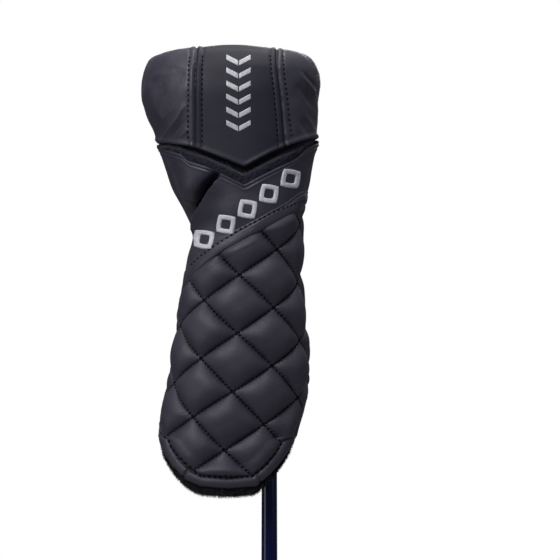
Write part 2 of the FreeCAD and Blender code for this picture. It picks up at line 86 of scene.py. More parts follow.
# ------------------------------------------------------------------ outline of the cover
# level, left and right edge of the cover in front-view units
OUT = np.array([
    (50, 206, 262), (52.5, 178, 288), (56, 160, 305), (59, 153, 310), (62, 149.5, 313.5), (68, 147, 317.5), (74, 145.5, 319), (80, 144, 320), (86, 143, 320),
    (92, 142, 319), (98, 142, 317.6), (104, 143, 317.2), (110, 145, 317.4), (116, 147, 318), (122, 149.5, 317.4), (128, 152, 316.6),
    (134, 155, 317.4), (140, 156.6, 318.4), (146, 157.6, 317.4), (152, 159.6, 316), (158, 162, 315), (164, 164, 313), (170, 166, 311.4),
    (176, 168, 310), (182, 170, 309), (188, 172.4, 308), (194, 175, 307), (200, 178, 306), (206, 181, 304.8), (212, 185, 304), (218, 188.6, 303.6),
    (224, 191.6, 303), (230, 193.6, 302), (236, 193.8, 301.4), (242, 192.4, 301.6), (248, 190.4, 302), (254, 188.6, 302), (260, 187.2, 302),
    (266, 186.2, 301.6), (272, 185.4, 301.2), (278, 185, 301.2), (284, 184.2, 301.8), (290, 183.4, 302.6), (296, 182.4, 302.6), (302, 181.2, 303.4),
    (308, 179.6, 304), (314, 178.2, 304.6), (320, 177.2, 305.2), (326, 176.8, 306), (332, 176, 306.8), (338, 175.2, 307.4), (344, 174.2, 307.8),
    (350, 173.2, 308), (356, 172.4, 308.4), (362, 172, 308.6), (368, 171, 308.2), (374, 170, 308), (380, 169, 307.6), (386, 168, 307), (392, 166.6, 306),
    (398, 165.2, 305), (404, 164.2, 304.4), (410, 163.2, 303.8), (416, 162.6, 303), (422, 161.6, 302.2), (428, 160.4, 301.4), (434, 159.4, 300.6), (440, 159, 299.8),
    (446, 158.8, 299), (460, 158.6, 297.6), (480, 158.6, 296), (510, 158.6, 294)], float)
# level above the ground point: front, back, squareness
DEEP = np.array([
    (54.5, 12, 52, 2.2), (52.4, -2, 67, 2.4), (48.5, -10.5, 79, 2.6), (40, -17.5, 88, 2.7), (22, -22, 93, 2.75), (2, -23, 93, 2.7),
    (-12, -23.6, 90, 2.6), (-24, -24.2, 80, 2.5), (-40, -24.8, 60, 2.4), (-56, -25, 43, 2.3), (-68, -24.5, 36, 2.2), (-82, -25.8, 35, 2.2),
    (-104, -28.4, 36, 2.3), (-134, -30.6, 38, 2.35), (-170, -32.2, 39.5, 2.35), (-205, -33, 39, 2.35), (-260, -33, 38, 2.35)], float)[::-1]


def level_rows():
    zs, rows = [], []
    for row, xl, xr in OUT:
        yc = 5.0
        for _ in range(4):
            z = CZ - (row - 280) * scale_at(yc)
            f, b = np.interp(z, DEEP[:, 0], DEEP[:, 1]), np.interp(z, DEEP[:, 0], DEEP[:, 2])
            yc = 0.5 * (f + b)
        k = scale_at(yc)
        rows.append((z, CX + (xl - 280) * k, CX + (xr - 280) * k, f, b, np.interp(z, DEEP[:, 0], DEEP[:, 3])))
    return np.array(rows[::-1])


R = level_rows()
ztop = R[-1, 0]


def smooth(a, s):
    k = np.exp(-0.5 * (np.arange(-4 * s, 4 * s + 1) / s) ** 2)
    k /= k.sum()
    pad = np.r_[2 * a[0] - a[4 * s:0:-1], a, 2 * a[-1] - a[-2:-4 * s - 2:-1]]
    return np.convolve(pad, k, mode="valid")


zb = np.arange(R[0, 0], 40.0, 1.0)
body = np.stack([zb] + [smooth(np.interp(zb, R[:, 0], R[:, c]), 3) for c in range(1, 6)], 1)
# the shoulder up to the crown of the pocket, drawn as a smooth turn
top = R[R[:, 0] > 39.0]
tt = np.linspace(0, 1, 26)[1:]
seg = np.concatenate([body[-3:-2], top[top[:, 0] > 42]], 0)
sl = np.r_[0, np.cumsum(np.hypot(np.diff(seg[:, 0]), np.diff(seg[:, 2] - seg[:, 1]) / 2))]
up = np.stack([np.interp(tt * sl[-1], sl, seg[:, c]) for c in range(6)], 1)
cap = []
a0 = up[-1]
for q in np.linspace(0, 1, 22)[1:]:
    r = 1 - q * 0.995
    xm, ym = 0.5 * (a0[1] + a0[2]), 0.5 * (a0[3] + a0[4])
    cap.append((a0[0] + 1.6 * (1 - r * r), xm + (a0[1] - xm) * r, xm + (a0[2] - xm) * r, ym + (a0[3] - ym) * r, ym + (a0[4] - ym) * r, a0[5] + (2.0 - a0[5]) * q))
LV = np.concatenate([body[:-2], up, np.array(cap)], 0)
for c in range(6):
    w = slice(len(body) - 12, len(LV) - 6)
    v = LV[w, c].copy()
    LV[w, c] = np.convolve(np.r_[[v[0]] * 2, v, [v[-1]] * 2], np.array([1, 2, 3, 2, 1]) / 9, mode="valid")
MER = np.r_[0, np.cumsum(np.hypot(np.diff(LV[:, 0]), np.diff((LV[:, 2] - LV[:, 1]) + (LV[:, 4] - LV[:, 3])) / 4))]

NA = 721
AN = np.linspace(-1, 1, NA)
TAB = np.zeros((len(LV), NA, 3))
HALF = np.zeros(len(LV))
ph = np.linspace(-1.5 * math.pi, 0.5 * math.pi, 1441)
for i, (z, x0, x1, y0, y1, e) in enumerate(LV):
    xc, yc, a, b = 0.5 * (x0 + x1), 0.5 * (y0 + y1), 0.5 * (x1 - x0), 0.5 * (y1 - y0)
    cx, sy = np.cos(ph), np.sin(ph)
    x = xc + a * np.sign(cx) * np.abs(cx) ** (2 / e)
    y = yc + b * np.sign(sy) * np.abs(sy) ** (2 / e)
    L = np.r_[0, np.cumsum(np.hypot(np.diff(x), np.diff(y)))]
    HALF[i] = 0.5 * L[-1]
    s = (AN + 1) * 0.5 * L[-1]
    TAB[i, :, 0], TAB[i, :, 1], TAB[i, :, 2] = np.interp(s, L, x), np.interp(s, L, y), z
dA = np.gradient(TAB, axis=1)
dA[:, 0] = dA[:, -1] = TAB[:, 1] - TAB[:, -2]
dM = np.gradient(TAB, axis=0)
NRM = np.cross(dA, dM)
NRM /= np.maximum(np.linalg.norm(NRM, axis=2, keepdims=True), 1e-9)
NRM[-3:] = (0, 0, 1)


def _lut(tab, an, m):
    an = (np.asarray(an, float) + 1) % 2.0 - 1
    fi = np.interp(m, MER, np.arange(len(MER)))
    fj = (an + 1) * 0.5 * (NA - 1)
    i0 = np.clip(np.floor(fi).astype(int), 0, len(MER) - 2)
    j0 = np.clip(np.floor(fj).astype(int), 0, NA - 2)
    u, v = (fi - i0)[..., None], (fj - j0)[..., None]
    return (tab[i0, j0] * (1 - u) + tab[i0 + 1, j0] * u) * (1 - v) + (tab[i0, j0 + 1] * (1 - u) + tab[i0 + 1, j0 + 1] * u) * v


def surf(an, m):
    an, m = np.broadcast_arrays(np.asarray(an, float), np.asarray(m, float))
    n = _lut(NRM, an, m)
    return _lut(TAB, an, m), n / np.linalg.norm(n, axis=-1, keepdims=True)


def m_of_z(z):
    k = len(body) + 20
    return np.interp(z, LV[:k, 0], MER[:k])


def on_front(x, y):
    """(an, m) on the front of the cover of a point of the front view."""
    x, y = np.atleast_1d(np.asarray(x, float)), np.atleast_1d(np.asarray(y, float))
    Y = np.full(x.shape, -26.0)
    front = (AN > -0.5) & (AN < 0.5)
    for _ in range(4):
        X, Z = CX + (x - 280) * scale_at(Y), CZ - (y - 280) * scale_at(Y)
        m = m_of_z(Z)
        fi = np.interp(m, MER, np.arange(len(MER)))
        an = np.zeros(x.shape)
        for q in range(x.size):
            i0 = int(min(max(fi[q], 0), len(MER) - 2))
            w = fi[q] - i0
            row = TAB[i0, front, 0] * (1 - w) + TAB[i0 + 1, front, 0] * w
            an[q] = np.interp(X[q], row, AN[front])
        Y = surf(an, m)[0][:, 1]
    return an, m


def front_line(pts):
    """Front-view polyline to (x, z) on the cover."""
    pts = np.array(pts, float)
    an, m = on_front(pts[:, 0], pts[:, 1])
    P = surf(an, m)[0]
    return np.stack([P[:, 0], P[:, 2]], 1)


def boundary(front, back, an):
    """m at which each column crosses a line given in the front view as z over x, front and back."""
    out = np.zeros(len(an))
    ms = MER[:len(body) + 8]
    for q, a in enumerate(an):
        P = surf(np.full(len(ms), a), ms)[0]
        aw = (a + 1) % 2 - 1
        line = front if abs(aw) <= 0.5 else back
        F = P[:, 2] - np.interp(P[:, 0], line[:, 0], line[:, 1])
        k = np.nonzero((F[:-1] < 0) & (F[1:] >= 0))[0]
        if len(k):
            k = k[-1]
            out[q] = ms[k] + (ms[k + 1] - ms[k]) * (-F[k]) / (F[k + 1] - F[k])
        else:
            out[q] = ms[0] if F[0] > 0 else ms[-1]
    return out


def poly_dist(x, z, line):
    """Signed distance to a polyline (positive above or right of it), and the run along it."""
    best = np.full(x.shape, 1e9)
    sign = np.ones(x.shape)
    run = np.zeros(x.shape)
    tot = 0.0
    for (ax, az), (bx, bz) in zip(line[:-1], line[1:]):
        dx, dz = bx - ax, bz - az
        L2 = dx * dx + dz * dz
        t = np.clip(((x - ax) * dx + (z - az) * dz) / L2, 0, 1)
        d = np.hypot(x - ax - t * dx, z - az - t * dz)
        cr = dx * (z - az) - dz * (x - ax)
        k = d < best
        best = np.where(k, d, best)
        sign = np.where(k, np.where(cr >= 0, 1.0, -1.0), sign)
        run = np.where(k, tot + t * math.sqrt(L2), run)
        tot += math.sqrt(L2)
    return best * sign, run, tot


def gauss(d, w):
    return np.exp(-(d / w) ** 2)


def sstep(a, b, x):
    t = np.clip((x - a) / (b - a), 0, 1)
    return t * t * (3 - 2 * t)


_W = rng.normal(size=(14, 3))
_W /= np.linalg.norm(_W, axis=1, keepdims=True)
_P = rng.uniform(0, 6.28, 14)


def lumps(P, wave):
    v = np.zeros(P.shape[:-1])
    for k in range(14):
        v += np.sin((P @ _W[k]) * 2 * math.pi / (wave * (0.7 + 0.06 * k)) + _P[k])
    return v / 3.7


# ------------------------------------------------------------------ mesh helpers
def mesh(name, V, F, body_name="headcover", mats=(), smooth_=True):
    V = np.ascontiguousarray(V, float)
    F = np.ascontiguousarray(F, np.int32)
    me = bpy.data.meshes.new(name)
    me.vertices.add(len(V))
    me.vertices.foreach_set("co", (V * 0.001).ravel())
    me.loops.add(F.size)
    me.loops.foreach_set("vertex_index", F.ravel())
    me.polygons.add(len(F))
    me.polygons.foreach_set("loop_start", np.arange(0, F.size, F.shape[1], dtype=np.int32))
    me.update(calc_edges=True)
    me.polygons.foreach_set("use_smooth", np.full(len(F), smooth_))
    me.validate()
    o = bpy.data.objects.new(name, me)
    bpy.context.scene.collection.objects.link(o)
    for m in mats:
        me.materials.append(m)
    if body_name:
        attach(o, body_name)
    return o


def world(P):
    Q = P.copy()
    Q[..., 0] += X0
    Q[..., 1] += Y0
    Q[..., 2] += Z0
    return Q


def grid_faces(r, c, wrap=False):
    i = np.arange(r * c).reshape(r, c)
    if wrap:
        i = np.concatenate([i, i[:, :1]], 1)
    return np.stack([i[:-1, :-1], i[:-1, 1:], i[1:, 1:], i[1:, :-1]], -1).reshape(-1, 4)


def capsules(name, C, T, N, length, rad, mat, body_name="headcover"):
    """Thread stitches: one small rounded bar at each point, along T, standing on N."""
    C, T, N = (np.asarray(v, float) for v in (C, T, N))
    if not len(C):
        return None
    T = T / np.linalg.norm(T, axis=1, keepdims=True)
    B = np.cross(N, T)
    B /= np.maximum(np.linalg.norm(B, axis=1, keepdims=True), 1e-9)
    U = np.cross(T, B)
    prof = [(-1.0, 0.0), (-0.92, 0.62), (-0.6, 1.0), (0.6, 1.0), (0.92, 0.62), (1.0, 0.0)]
    ns = 7
    tv, ring = [], []
    for s, r in prof:
        for k in range(ns):
            th = 2 * math.pi * k / ns
            tv.append((s * length / 2, math.cos(th) * max(r, 0.04) * rad, math.sin(th) * max(r, 0.04) * rad))
    tv = np.array(tv)
    tf = grid_faces(len(prof), ns, True)
    V = C[:, None] + tv[None, :, 0:1] * T[:, None] + tv[None, :, 1:2] * B[:, None] + tv[None, :, 2:3] * U[:, None]
    F = (tf[None] + (np.arange(len(C)) * len(tv))[:, None, None]).reshape(-1, 4)
    return mesh(name, V.reshape(-1, 3), F, body_name, [mat])


def fibres(name, C, D, length, rad, mat, body_name="headcover", curl=0.35):
    """Pile: tapering, slightly bent hairs from C along D."""
    C, D = np.asarray(C, float), np.asarray(D, float)
    n = len(C)
    D = D / np.linalg.norm(D, axis=1, keepdims=True)
    A = np.cross(D, rng.normal(size=(n, 3)))
    A /= np.maximum(np.linalg.norm(A, axis=1, keepdims=True), 1e-9)
    B = np.cross(D, A)
    Ls = (length * rng.uniform(0.6, 1.25, n))[:, None]
    parts = []
    for t, r in ((0.0, 1.0), (0.5, 0.75), (1.0, 0.12)):
        c = C + D * Ls * t + A * Ls * curl * t * t
        for k in range(3):
            th = 2 * math.pi * k / 3
            parts.append(c + (A * math.cos(th) + B * math.sin(th)) * rad * r)
    V = np.stack(parts, 1)
    tf = grid_faces(3, 3, True)
    F = (tf[None] + (np.arange(n) * 9)[:, None, None]).reshape(-1, 4)
    return mesh(name, V.reshape(-1, 3), F, body_name, [mat])


# ------------------------------------------------------------------ materials
def new_mat(name):
    m = bpy.data.materials.new(name)
    m.use_nodes = True
    nt = m.node_tree
    b = nt.nodes["Principled BSDF"]
    tc = nt.nodes.new("ShaderNodeTexCoord")
    return m, nt, b, tc.outputs["Object"]


def noise(nt, co, scale, detail=3.0, rough=0.5):
    n = nt.nodes.new("ShaderNodeTexNoise")
    n.inputs["Scale"].default_value = scale
    n.inputs["Detail"].default_value = detail
    n.inputs["Roughness"].default_value = rough
    nt.links.new(co, n.inputs["Vector"])
    return n.outputs["Fac"]


def ramp(nt, fac, stops):
    r = nt.nodes.new("ShaderNodeValToRGB")
    el = r.color_ramp.elements
    while len(el) < len(stops):
        el.new(0.5)
    for e, (p, c) in zip(el, stops):
        e.position = p
        e.color = (*c, 1) if len(c) == 3 else c
    nt.links.new(fac, r.inputs["Fac"])
    return r.outputs["Color"]


def maprange(nt, fac, lo, hi):
    r = nt.nodes.new("ShaderNodeMapRange")
    r.inputs["To Min"].default_value, r.inputs["To Max"].default_value = lo, hi
    nt.links.new(fac, r.inputs["Value"])
    return r.outputs["Result"]


def bump(nt, b, height, dist, strength=1.0, prev=None):
    n = nt.nodes.new("ShaderNodeBump")
    n.inputs["Distance"].default_value = dist
    n.inputs["Strength"].default_value = strength
    nt.links.new(height, n.inputs["Height"])
    if prev is not None:
        nt.links.new(prev, n.inputs["Normal"])
    nt.links.new(n.outputs["Normal"], b.inputs["Normal"])
    return n.outputs["Normal"]


def leather(name, col, rough, grain=1.0):
    m, nt, b, co = new_mat(name)
    nt.links.new(ramp(nt, noise(nt, co, 70, 4), [(0.3, tuple(c * 0.82 for c in col)), (0.7, tuple(c * 1.2 for c in col))]), b.inputs["Base Color"])
    nt.links.new(maprange(nt, noise(nt, co, 160, 5, 0.6), rough - 0.07, rough + 0.08), b.inputs["Roughness"])
    v = nt.nodes.new("ShaderNodeTexVoronoi")
    v.inputs["Scale"].default_value = 1250
    nt.links.new(co, v.inputs["Vector"])
    n1 = bump(nt, b, v.outputs["Distance"], 0.00012 * grain, 0.55)
    bump(nt, b, noise(nt, co, 420, 4), 0.00025 * grain, 0.5, n1)
    b.inputs["Specular IOR Level"].default_value = 0.5
    return m


def pile(name, col):
    m, nt, b, co = new_mat(name)
    nt.links.new(ramp(nt, noise(nt, co, 900, 3), [(0.3, tuple(c * 0.5 for c in col)), (0.75, tuple(c * 1.6 for c in col))]), b.inputs["Base Color"])
    b.inputs["Roughness"].default_value = 0.95
    b.inputs["Specular IOR Level"].default_value = 0.12
    b.inputs["Sheen Weight"].default_value = 0.12
    b.inputs["Sheen Roughness"].default_value = 0.5
    bump(nt, b, noise(nt, co, 1500, 4, 0.7), 0.0006, 0.8)
    return m


M_SIDE = leather("leather_side", (0.0180, 0.0168, 0.0310), 0.50)
M_CENTRE = leather("leather_centre", (0.0050, 0.0048, 0.0140), 0.60, 0.45)
M_CENTRE.node_tree.nodes["Principled BSDF"].inputs["Specular IOR Level"].default_value = 0.36
M_QUILT = leather("leather_quilted", (0.0172, 0.0160, 0.0300), 0.58, 0.8)
M_PILE = pile("fleece_black", (0.0170, 0.0170, 0.0290))
M_LINING = pile("lining_black", (0.0050, 0.0050, 0.0085))
# Black thread, made darker than real black thread so the stitch rows also carry painted shade of their needle holes:
# partly the thread's own black, partly painted shade
M_THREAD_HOLE_SHADE, nt, b, co = new_mat("thread_black_hole_shade")
nt.links.new(ramp(nt, noise(nt, co, 2500, 2), [(0.3, (0.0015, 0.0015, 0.0022)), (0.7, (0.004, 0.004, 0.006))]), b.inputs["Base Color"])
b.inputs["Roughness"].default_value = 0.85
b.inputs["Specular IOR Level"].default_value = 0.1
# Near-black, nearly unlit sheet for the deep hollow left of the collar's fold: painted shade standing in for the
# shadow inside the fold, not a real elastic panel
M_FOLD_SHADE, nt, b, co = new_mat("elastic_black")
nt.links.new(ramp(nt, noise(nt, co, 1800, 3), [(0.3, (0.0012, 0.0012, 0.002)), (0.7, (0.0032, 0.0032, 0.005))]), b.inputs["Base Color"])
b.inputs["Roughness"].default_value = 0.95
b.inputs["Specular IOR Level"].default_value = 0.06
bump(nt, b, noise(nt, co, 1400, 2), 0.0003, 0.5)
M_SILVER, nt, b, co = new_mat("silver_stitching")
nt.links.new(ramp(nt, noise(nt, co, 600, 3), [(0.3, (0.44, 0.44, 0.485)), (0.7, (0.60, 0.60, 0.65))]), b.inputs["Base Color"])
b.inputs["Roughness"].default_value = 0.5
wv = nt.nodes.new("ShaderNodeTexWave")
wv.inputs["Scale"].default_value = 620
wv.inputs["Distortion"].default_value = 1.2
wv.bands_direction = "DIAGONAL"
nt.links.new(co, wv.inputs["Vector"])
bump(nt, b, wv.outputs["Fac"], 0.00025, 0.6)
M_PRINT, nt, b, co = new_mat("silver_print")
nt.links.new(ramp(nt, noise(nt, co, 500, 4), [(0.25, (0.36, 0.36, 0.39)), (0.75, (0.50, 0.50, 0.53))]), b.inputs["Base Color"])
b.inputs["Roughness"].default_value = 0.42
b.inputs["Metallic"].default_value = 0.1
bump(nt, b, noise(nt, co, 900, 3), 0.0001, 0.4)

# ------------------------------------------------------------------ lines of the cover, in front-view points
SL_FV = [(168, 300), (176, 294.5), (184, 289), (191.7, 276.8), (206, 263.5), (222.6, 251.6), (261.9, 230.2), (295.6, 211.6), (310, 204)]
VT_FV = [(150, 143), (160, 143), (190, 146.5), (203, 151), (228, 160.5), (244.4, 167.2), (270, 153.5), (291, 144.4), (318, 138.7), (324, 138)]
VL_FV = [(150, 148.6), (163, 149), (181, 153.6), (187, 160), (208.6, 166.8), (228, 176), (244.4, 184.3), (263, 174.5), (297, 158), (305, 149.6), (318, 143.6), (324, 143)]
HEM_FV = [(150, 424), (158.4, 433), (159.6, 441), (162, 450), (172, 466.3), (186.1, 480.3), (200.2, 486.6), (228.2, 488.7), (256.3, 486.6), (270.3, 474.7), (284.3, 457.9), (293.5, 443.8), (299, 424), (303, 408), (312, 398)]
V_TOP, V_LOW, SLANT, HEM = front_line(VT_FV), front_line(VL_FV), front_line(SL_FV), front_line(HEM_FV)
SEAM_L = front_line([(194.6, 143), (194.8, 120), (194.8, 90), (195.2, 70), (195.6, 62)])
SEAM_R = front_line([(285.4, 146), (283.4, 120), (280.6, 90), (278, 68), (277, 60)])


def extend(line, l=30.0):
    """Adds level ends, so a line covers the whole width."""
    return np.concatenate([[(line[0, 0] - l, line[0, 1])], line, [(line[-1, 0] + l, line[-1, 1])]], 0)


def back_of(line):
    """Straight run from the line's left end to its right end, for the back."""
    return np.array([(line[0, 0] - 30, line[0, 1]), line[0], line[-1], (line[-1, 0] + 30, line[-1, 1])])


V_TOPf, V_LOWf, SLf, HEMf = map(extend, (V_TOP, V_LOW, SLANT, HEM))
NC = 640
COL = np.linspace(-1, 1, NC + 1)[:-1]
B_TOP = boundary(V_TOPf, back_of(V_TOP), COL)
B_LOW = boundary(V_LOWf, back_of(V_LOW), COL)
B_SL = boundary(SLf, back_of(SLANT), COL)
B_HEM = boundary(HEMf, back_of(HEM), COL)


def blur_wrap(a, s):
    k = np.exp(-0.5 * (np.arange(-3 * s, 3 * s + 1) / s) ** 2)
    k /= k.sum()
    return np.convolve(np.r_[a[-3 * s:], a, a[:3 * s]], k, mode="valid")


B_TOP, B_LOW, B_SL, B_HEM = blur_wrap(B_TOP, 2), blur_wrap(B_LOW, 2), blur_wrap(B_SL, 2), blur_wrap(B_HEM, 3)
B_LOW = np.minimum(B_LOW, B_TOP - 2.2)
ISF = np.abs(COL) <= 0.5


def pocket_h(P, N, an):
    """Relief of the head pocket: seams, topstitch rows, creases and slack."""
    x, y, z = P[..., 0], P[..., 1], P[..., 2]
    sl_x = np.interp(z, SEAM_L[:, 1], SEAM_L[:, 0])
    order = np.argsort(SEAM_R[:, 1])
    sr_x = np.interp(z, SEAM_R[order, 1], SEAM_R[order, 0])
    face = np.clip(np.hypot(N[..., 1], N[..., 2]), 0.2, 1)
    dl, dr = (x - sl_x) / face, (x - sr_x) / face
    h = np.zeros(x.shape)
    for d, off in ((dl, (-4.3, 4.6)), (dr, (-4.4, 4.4))):
        h -= 1.15 * gauss(d, 0.75) + 0.25 * gauss(d, 2.0)
        h += 0.28 * gauss(np.abs(d) - 2.0, 1.2)
        for o in off:
            h -= 0.38 * gauss(d - o, 0.65)
    inner = sstep(0, 6, dl) * sstep(0, 6, -dr)
    side = 1 - sstep(-3, 3, dl) * sstep(-3, 3, -dr)
    h -= 0.5 * inner
    h += 0.42 * side * lumps(P, 34.0) + 0.20 * side * lumps(P * 1.0 + 40, 13.0)
    front = sstep(20, -5, y)
    # creases, as front-view segments with height and width
    for x0, y0, x1, y1, amp, w in (
            (160, 139, 181, 116, 0.9, 1.7), (166, 142, 187, 121, -0.7, 1.5), (170, 128, 186, 104, 0.7, 1.8), (158, 128, 176, 108, -0.6, 1.7),
            (176, 141, 190, 128, 0.5, 1.3), (300, 71, 320, 96, 0.9, 1.5), (305, 70, 322, 90, -0.8, 1.3), (297, 82, 317, 108, -0.6, 1.8),
            (306, 112, 318, 134, 0.7, 1.8), (300, 118, 312, 140, -0.4, 1.6), (149, 76, 176, 70, 0.5, 2.4), (148, 92, 166, 84, -0.4, 2.6)):
        ln = np.array([(CX + (x0 - 280) * 0.633, CZ - (y0 - 280) * 0.633), (CX + (x1 - 280) * 0.633, CZ - (y1 - 280) * 0.633)])
        d, run, tot = poly_dist(x, z, ln)
        end = np.clip(run / tot, 0, 1)
        h += 1.35 * amp * gauss(d, w) * np.sin(math.pi * np.clip(end, 0.02, 0.98)) ** 0.7 * front
    return h


def strip(name, an_idx, lo, hi, rows, relief, mats, skirts=((), ()), wrap=False, matsel=None, ease=None):
    """A panel between two boundary curves. skirts are extra rows turned in at its lower and upper edges."""
    an = COL[an_idx % NC] + 2.0 * (an_idx // NC)
    lo, hi = lo[an_idx % NC], hi[an_idx % NC]
    v = np.linspace(0, 1, rows)
    if ease is not None:
        v = ease(v)
    m = lo[None] + (hi - lo)[None] * v[:, None]
    A = np.broadcast_to(an[None], m.shape)
    P, N = surf(A, m)
    h = relief(P, N, A, m, lo[None], hi[None])
    Q = P + N * h[..., None]
    if relief.__name__ == "collar_h":
        Q = Q + collar_push(P)
    low = [Q[0] + N[0] * d + np.array([0, 0, dz]) for d, dz in skirts[0]][::-1]
    high = [Q[-1] + N[-1] * d + np.array([0, 0, dz]) for d, dz in skirts[1]]
    Q = np.concatenate([np.array(low).reshape(-1, *Q.shape[1:]), Q, np.array(high).reshape(-1, *Q.shape[1:])], 0)
    r, c = Q.shape[:2]
    F = grid_faces(r, c, wrap)
    o = mesh(name, world(Q).reshape(-1, 3), F, "headcover", mats)
    if matsel is not None:
        sel = matsel(Q)
        fs = sel.reshape(-1)[F[:, 0]]
        o.data.polygons.foreach_set("material_index", fs.astype(np.int32))
        o.data.update()
    return o, P, N, h, A, m


# --- pocket: built as one sheet, then parted along its seams
idx_all = np.arange(NC)
MTOP = MER[-1] * np.ones(NC)
rows_p = 170
v = np.linspace(0, 1, rows_p)
mP = B_TOP[None] + (MTOP - B_TOP)[None] * v[:, None]
AP = np.broadcast_to(COL[None], mP.shape)
PP, NP_ = surf(AP, mP)
edge = (mP - B_TOP[None])
hP = pocket_h(PP, NP_, AP)
hP += 0.9 * gauss(edge - 1.4, 1.6) - 0.6 * gauss(edge, 0.4)
QP = PP + NP_ * hP[..., None]
skirt = [QP[0] - NP_[0] * 4.6 + np.array([0, 0, 1.2]), QP[0] - NP_[0] * 2.4 + np.array([0, 0, 0.5]), QP[0] - NP_[0] * 1.0 + np.array([0, 0, 0.05])]
QP = np.concatenate([np.array(skirt), QP], 0)
xs = QP[..., 0]
zz = QP[..., 2]
sl_x = np.interp(zz, SEAM_L[:, 1], SEAM_L[:, 0])
od = np.argsort(SEAM_R[:, 1])
sr_x = np.interp(zz, SEAM_R[od, 1], SEAM_R[od, 0])
reg = np.where(xs < sl_x, 0, np.where(xs > sr_x, 3, np.where(QP[..., 1] < 52, 1, 2)))
Fp = grid_faces(*QP.shape[:2], True)
fr = reg.reshape(-1)[Fp[:, 0]]
Vp = world(QP).reshape(-1, 3)
for k, nm, mt, node, flat, cut in ((0, "pocket_left_panel", M_SIDE, "left_side_panel", (0.125, 0.100), 0.0106),
                                   (1, "pocket_front_panel", M_CENTRE, "centre_front_panel", (0.058, 0.145), 0.0072),
                                   (2, "pocket_back_panel", M_CENTRE, "centre_back_panel", (0.058, 0.085), 0.0046),
                                   (3, "pocket_right_panel", M_SIDE, "right_side_panel", (0.120, 0.082), 0.0082)):
    f = Fp[fr == k]
    used, inv = np.unique(f, return_inverse=True)
    o = mesh(nm, Vp[used], inv.reshape(f.shape), "headcover", [mt])
    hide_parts(node)


# --- piled gusset
def gus_h(P, N, A, m, lo, hi):
    t = (m - lo) / np.maximum(hi - lo, 1e-6)
    return -0.8 - 4.4 * sstep(0.46, 0.66, t) + 0.7 * np.sqrt(np.clip(4 * t * (1 - t), 0, 1)) + 0.22 * lumps(P, 3.0) + 0.2 * lumps(P + 9, 1.7)


o, Pg, Ng, hg, Ag, mg = strip("gusset_pile", idx_all, B_LOW - 1.2, B_TOP + 1.2, 18, gus_h, [M_PILE], wrap=True)
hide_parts("gusset_band")
nf = 9000
ai = rng.integers(0, NC, nf)
ai = np.where(rng.uniform(size=nf) < 0.75, (ai // 2 + NC // 4) % NC, ai)
tt_ = rng.uniform(0.05, 0.48, nf)
mm = B_LOW[ai] + (B_TOP[ai] - B_LOW[ai]) * tt_
Pf, Nf = surf(COL[ai], mm)
fib_C = [Pf - Nf * 0.9]
fib_D = [Nf * 0.9 + np.array([0, 0, -0.7]) + rng.normal(size=Pf.shape) * 0.35]

# --- collar with its folded hem
FOLD = front_line([(222, 172), (216, 183), (210, 194), (203, 207), (197, 219), (191, 231), (184, 246)])
EDGE_L = front_line([(164, 152), (173, 178), (183, 203), (191, 222), (196, 238)])
HEMW = 7.0


def fold_depth(P, side=0.0):
    """Depth of the hollow left of the fold, from 0 to 1."""
    x, y, z = P[..., 0], P[..., 1], P[..., 2]
    df, rf, tf_ = poly_dist(x, z, FOLD)
    t = rf / tf_
    df = df - side
    amp = np.interp(t, [0, 0.1, 0.25, 0.6, 0.8, 1.0], [0.1, 0.45, 1.0, 1.0, 0.6, 0.0]) * sstep(9, -4, y)
    wl = 2.5 + 5.0 * t
    hollow = np.exp(-(np.clip(np.abs(df) - 2.0 - 4.5 * t, 0, 99) / wl) ** 1.5) * sstep(0.0, 1.2, np.abs(df))
    return np.where(df < 0, hollow * amp, 0.0)


def collar_push(P):
    """Sideways lean that turns the right side of the fold over its hollow."""
    x, y, z = P[..., 0], P[..., 1], P[..., 2]
    df, rf, tf_ = poly_dist(x, z, FOLD)
    amp = np.interp(rf / tf_, [0, 0.1, 0.25, 0.6, 0.8, 1.0], [0.0, 0.4, 1.0, 1.0, 0.4, 0.0]) * sstep(6, -8, y)
    dx = np.where(df < 0, 3.2 * np.exp(-(df / 3.0) ** 2), -2.6 * np.exp(-(df / 4.0) ** 2)) * amp
    return np.stack([dx, np.zeros_like(dx), np.zeros_like(dx)], -1)


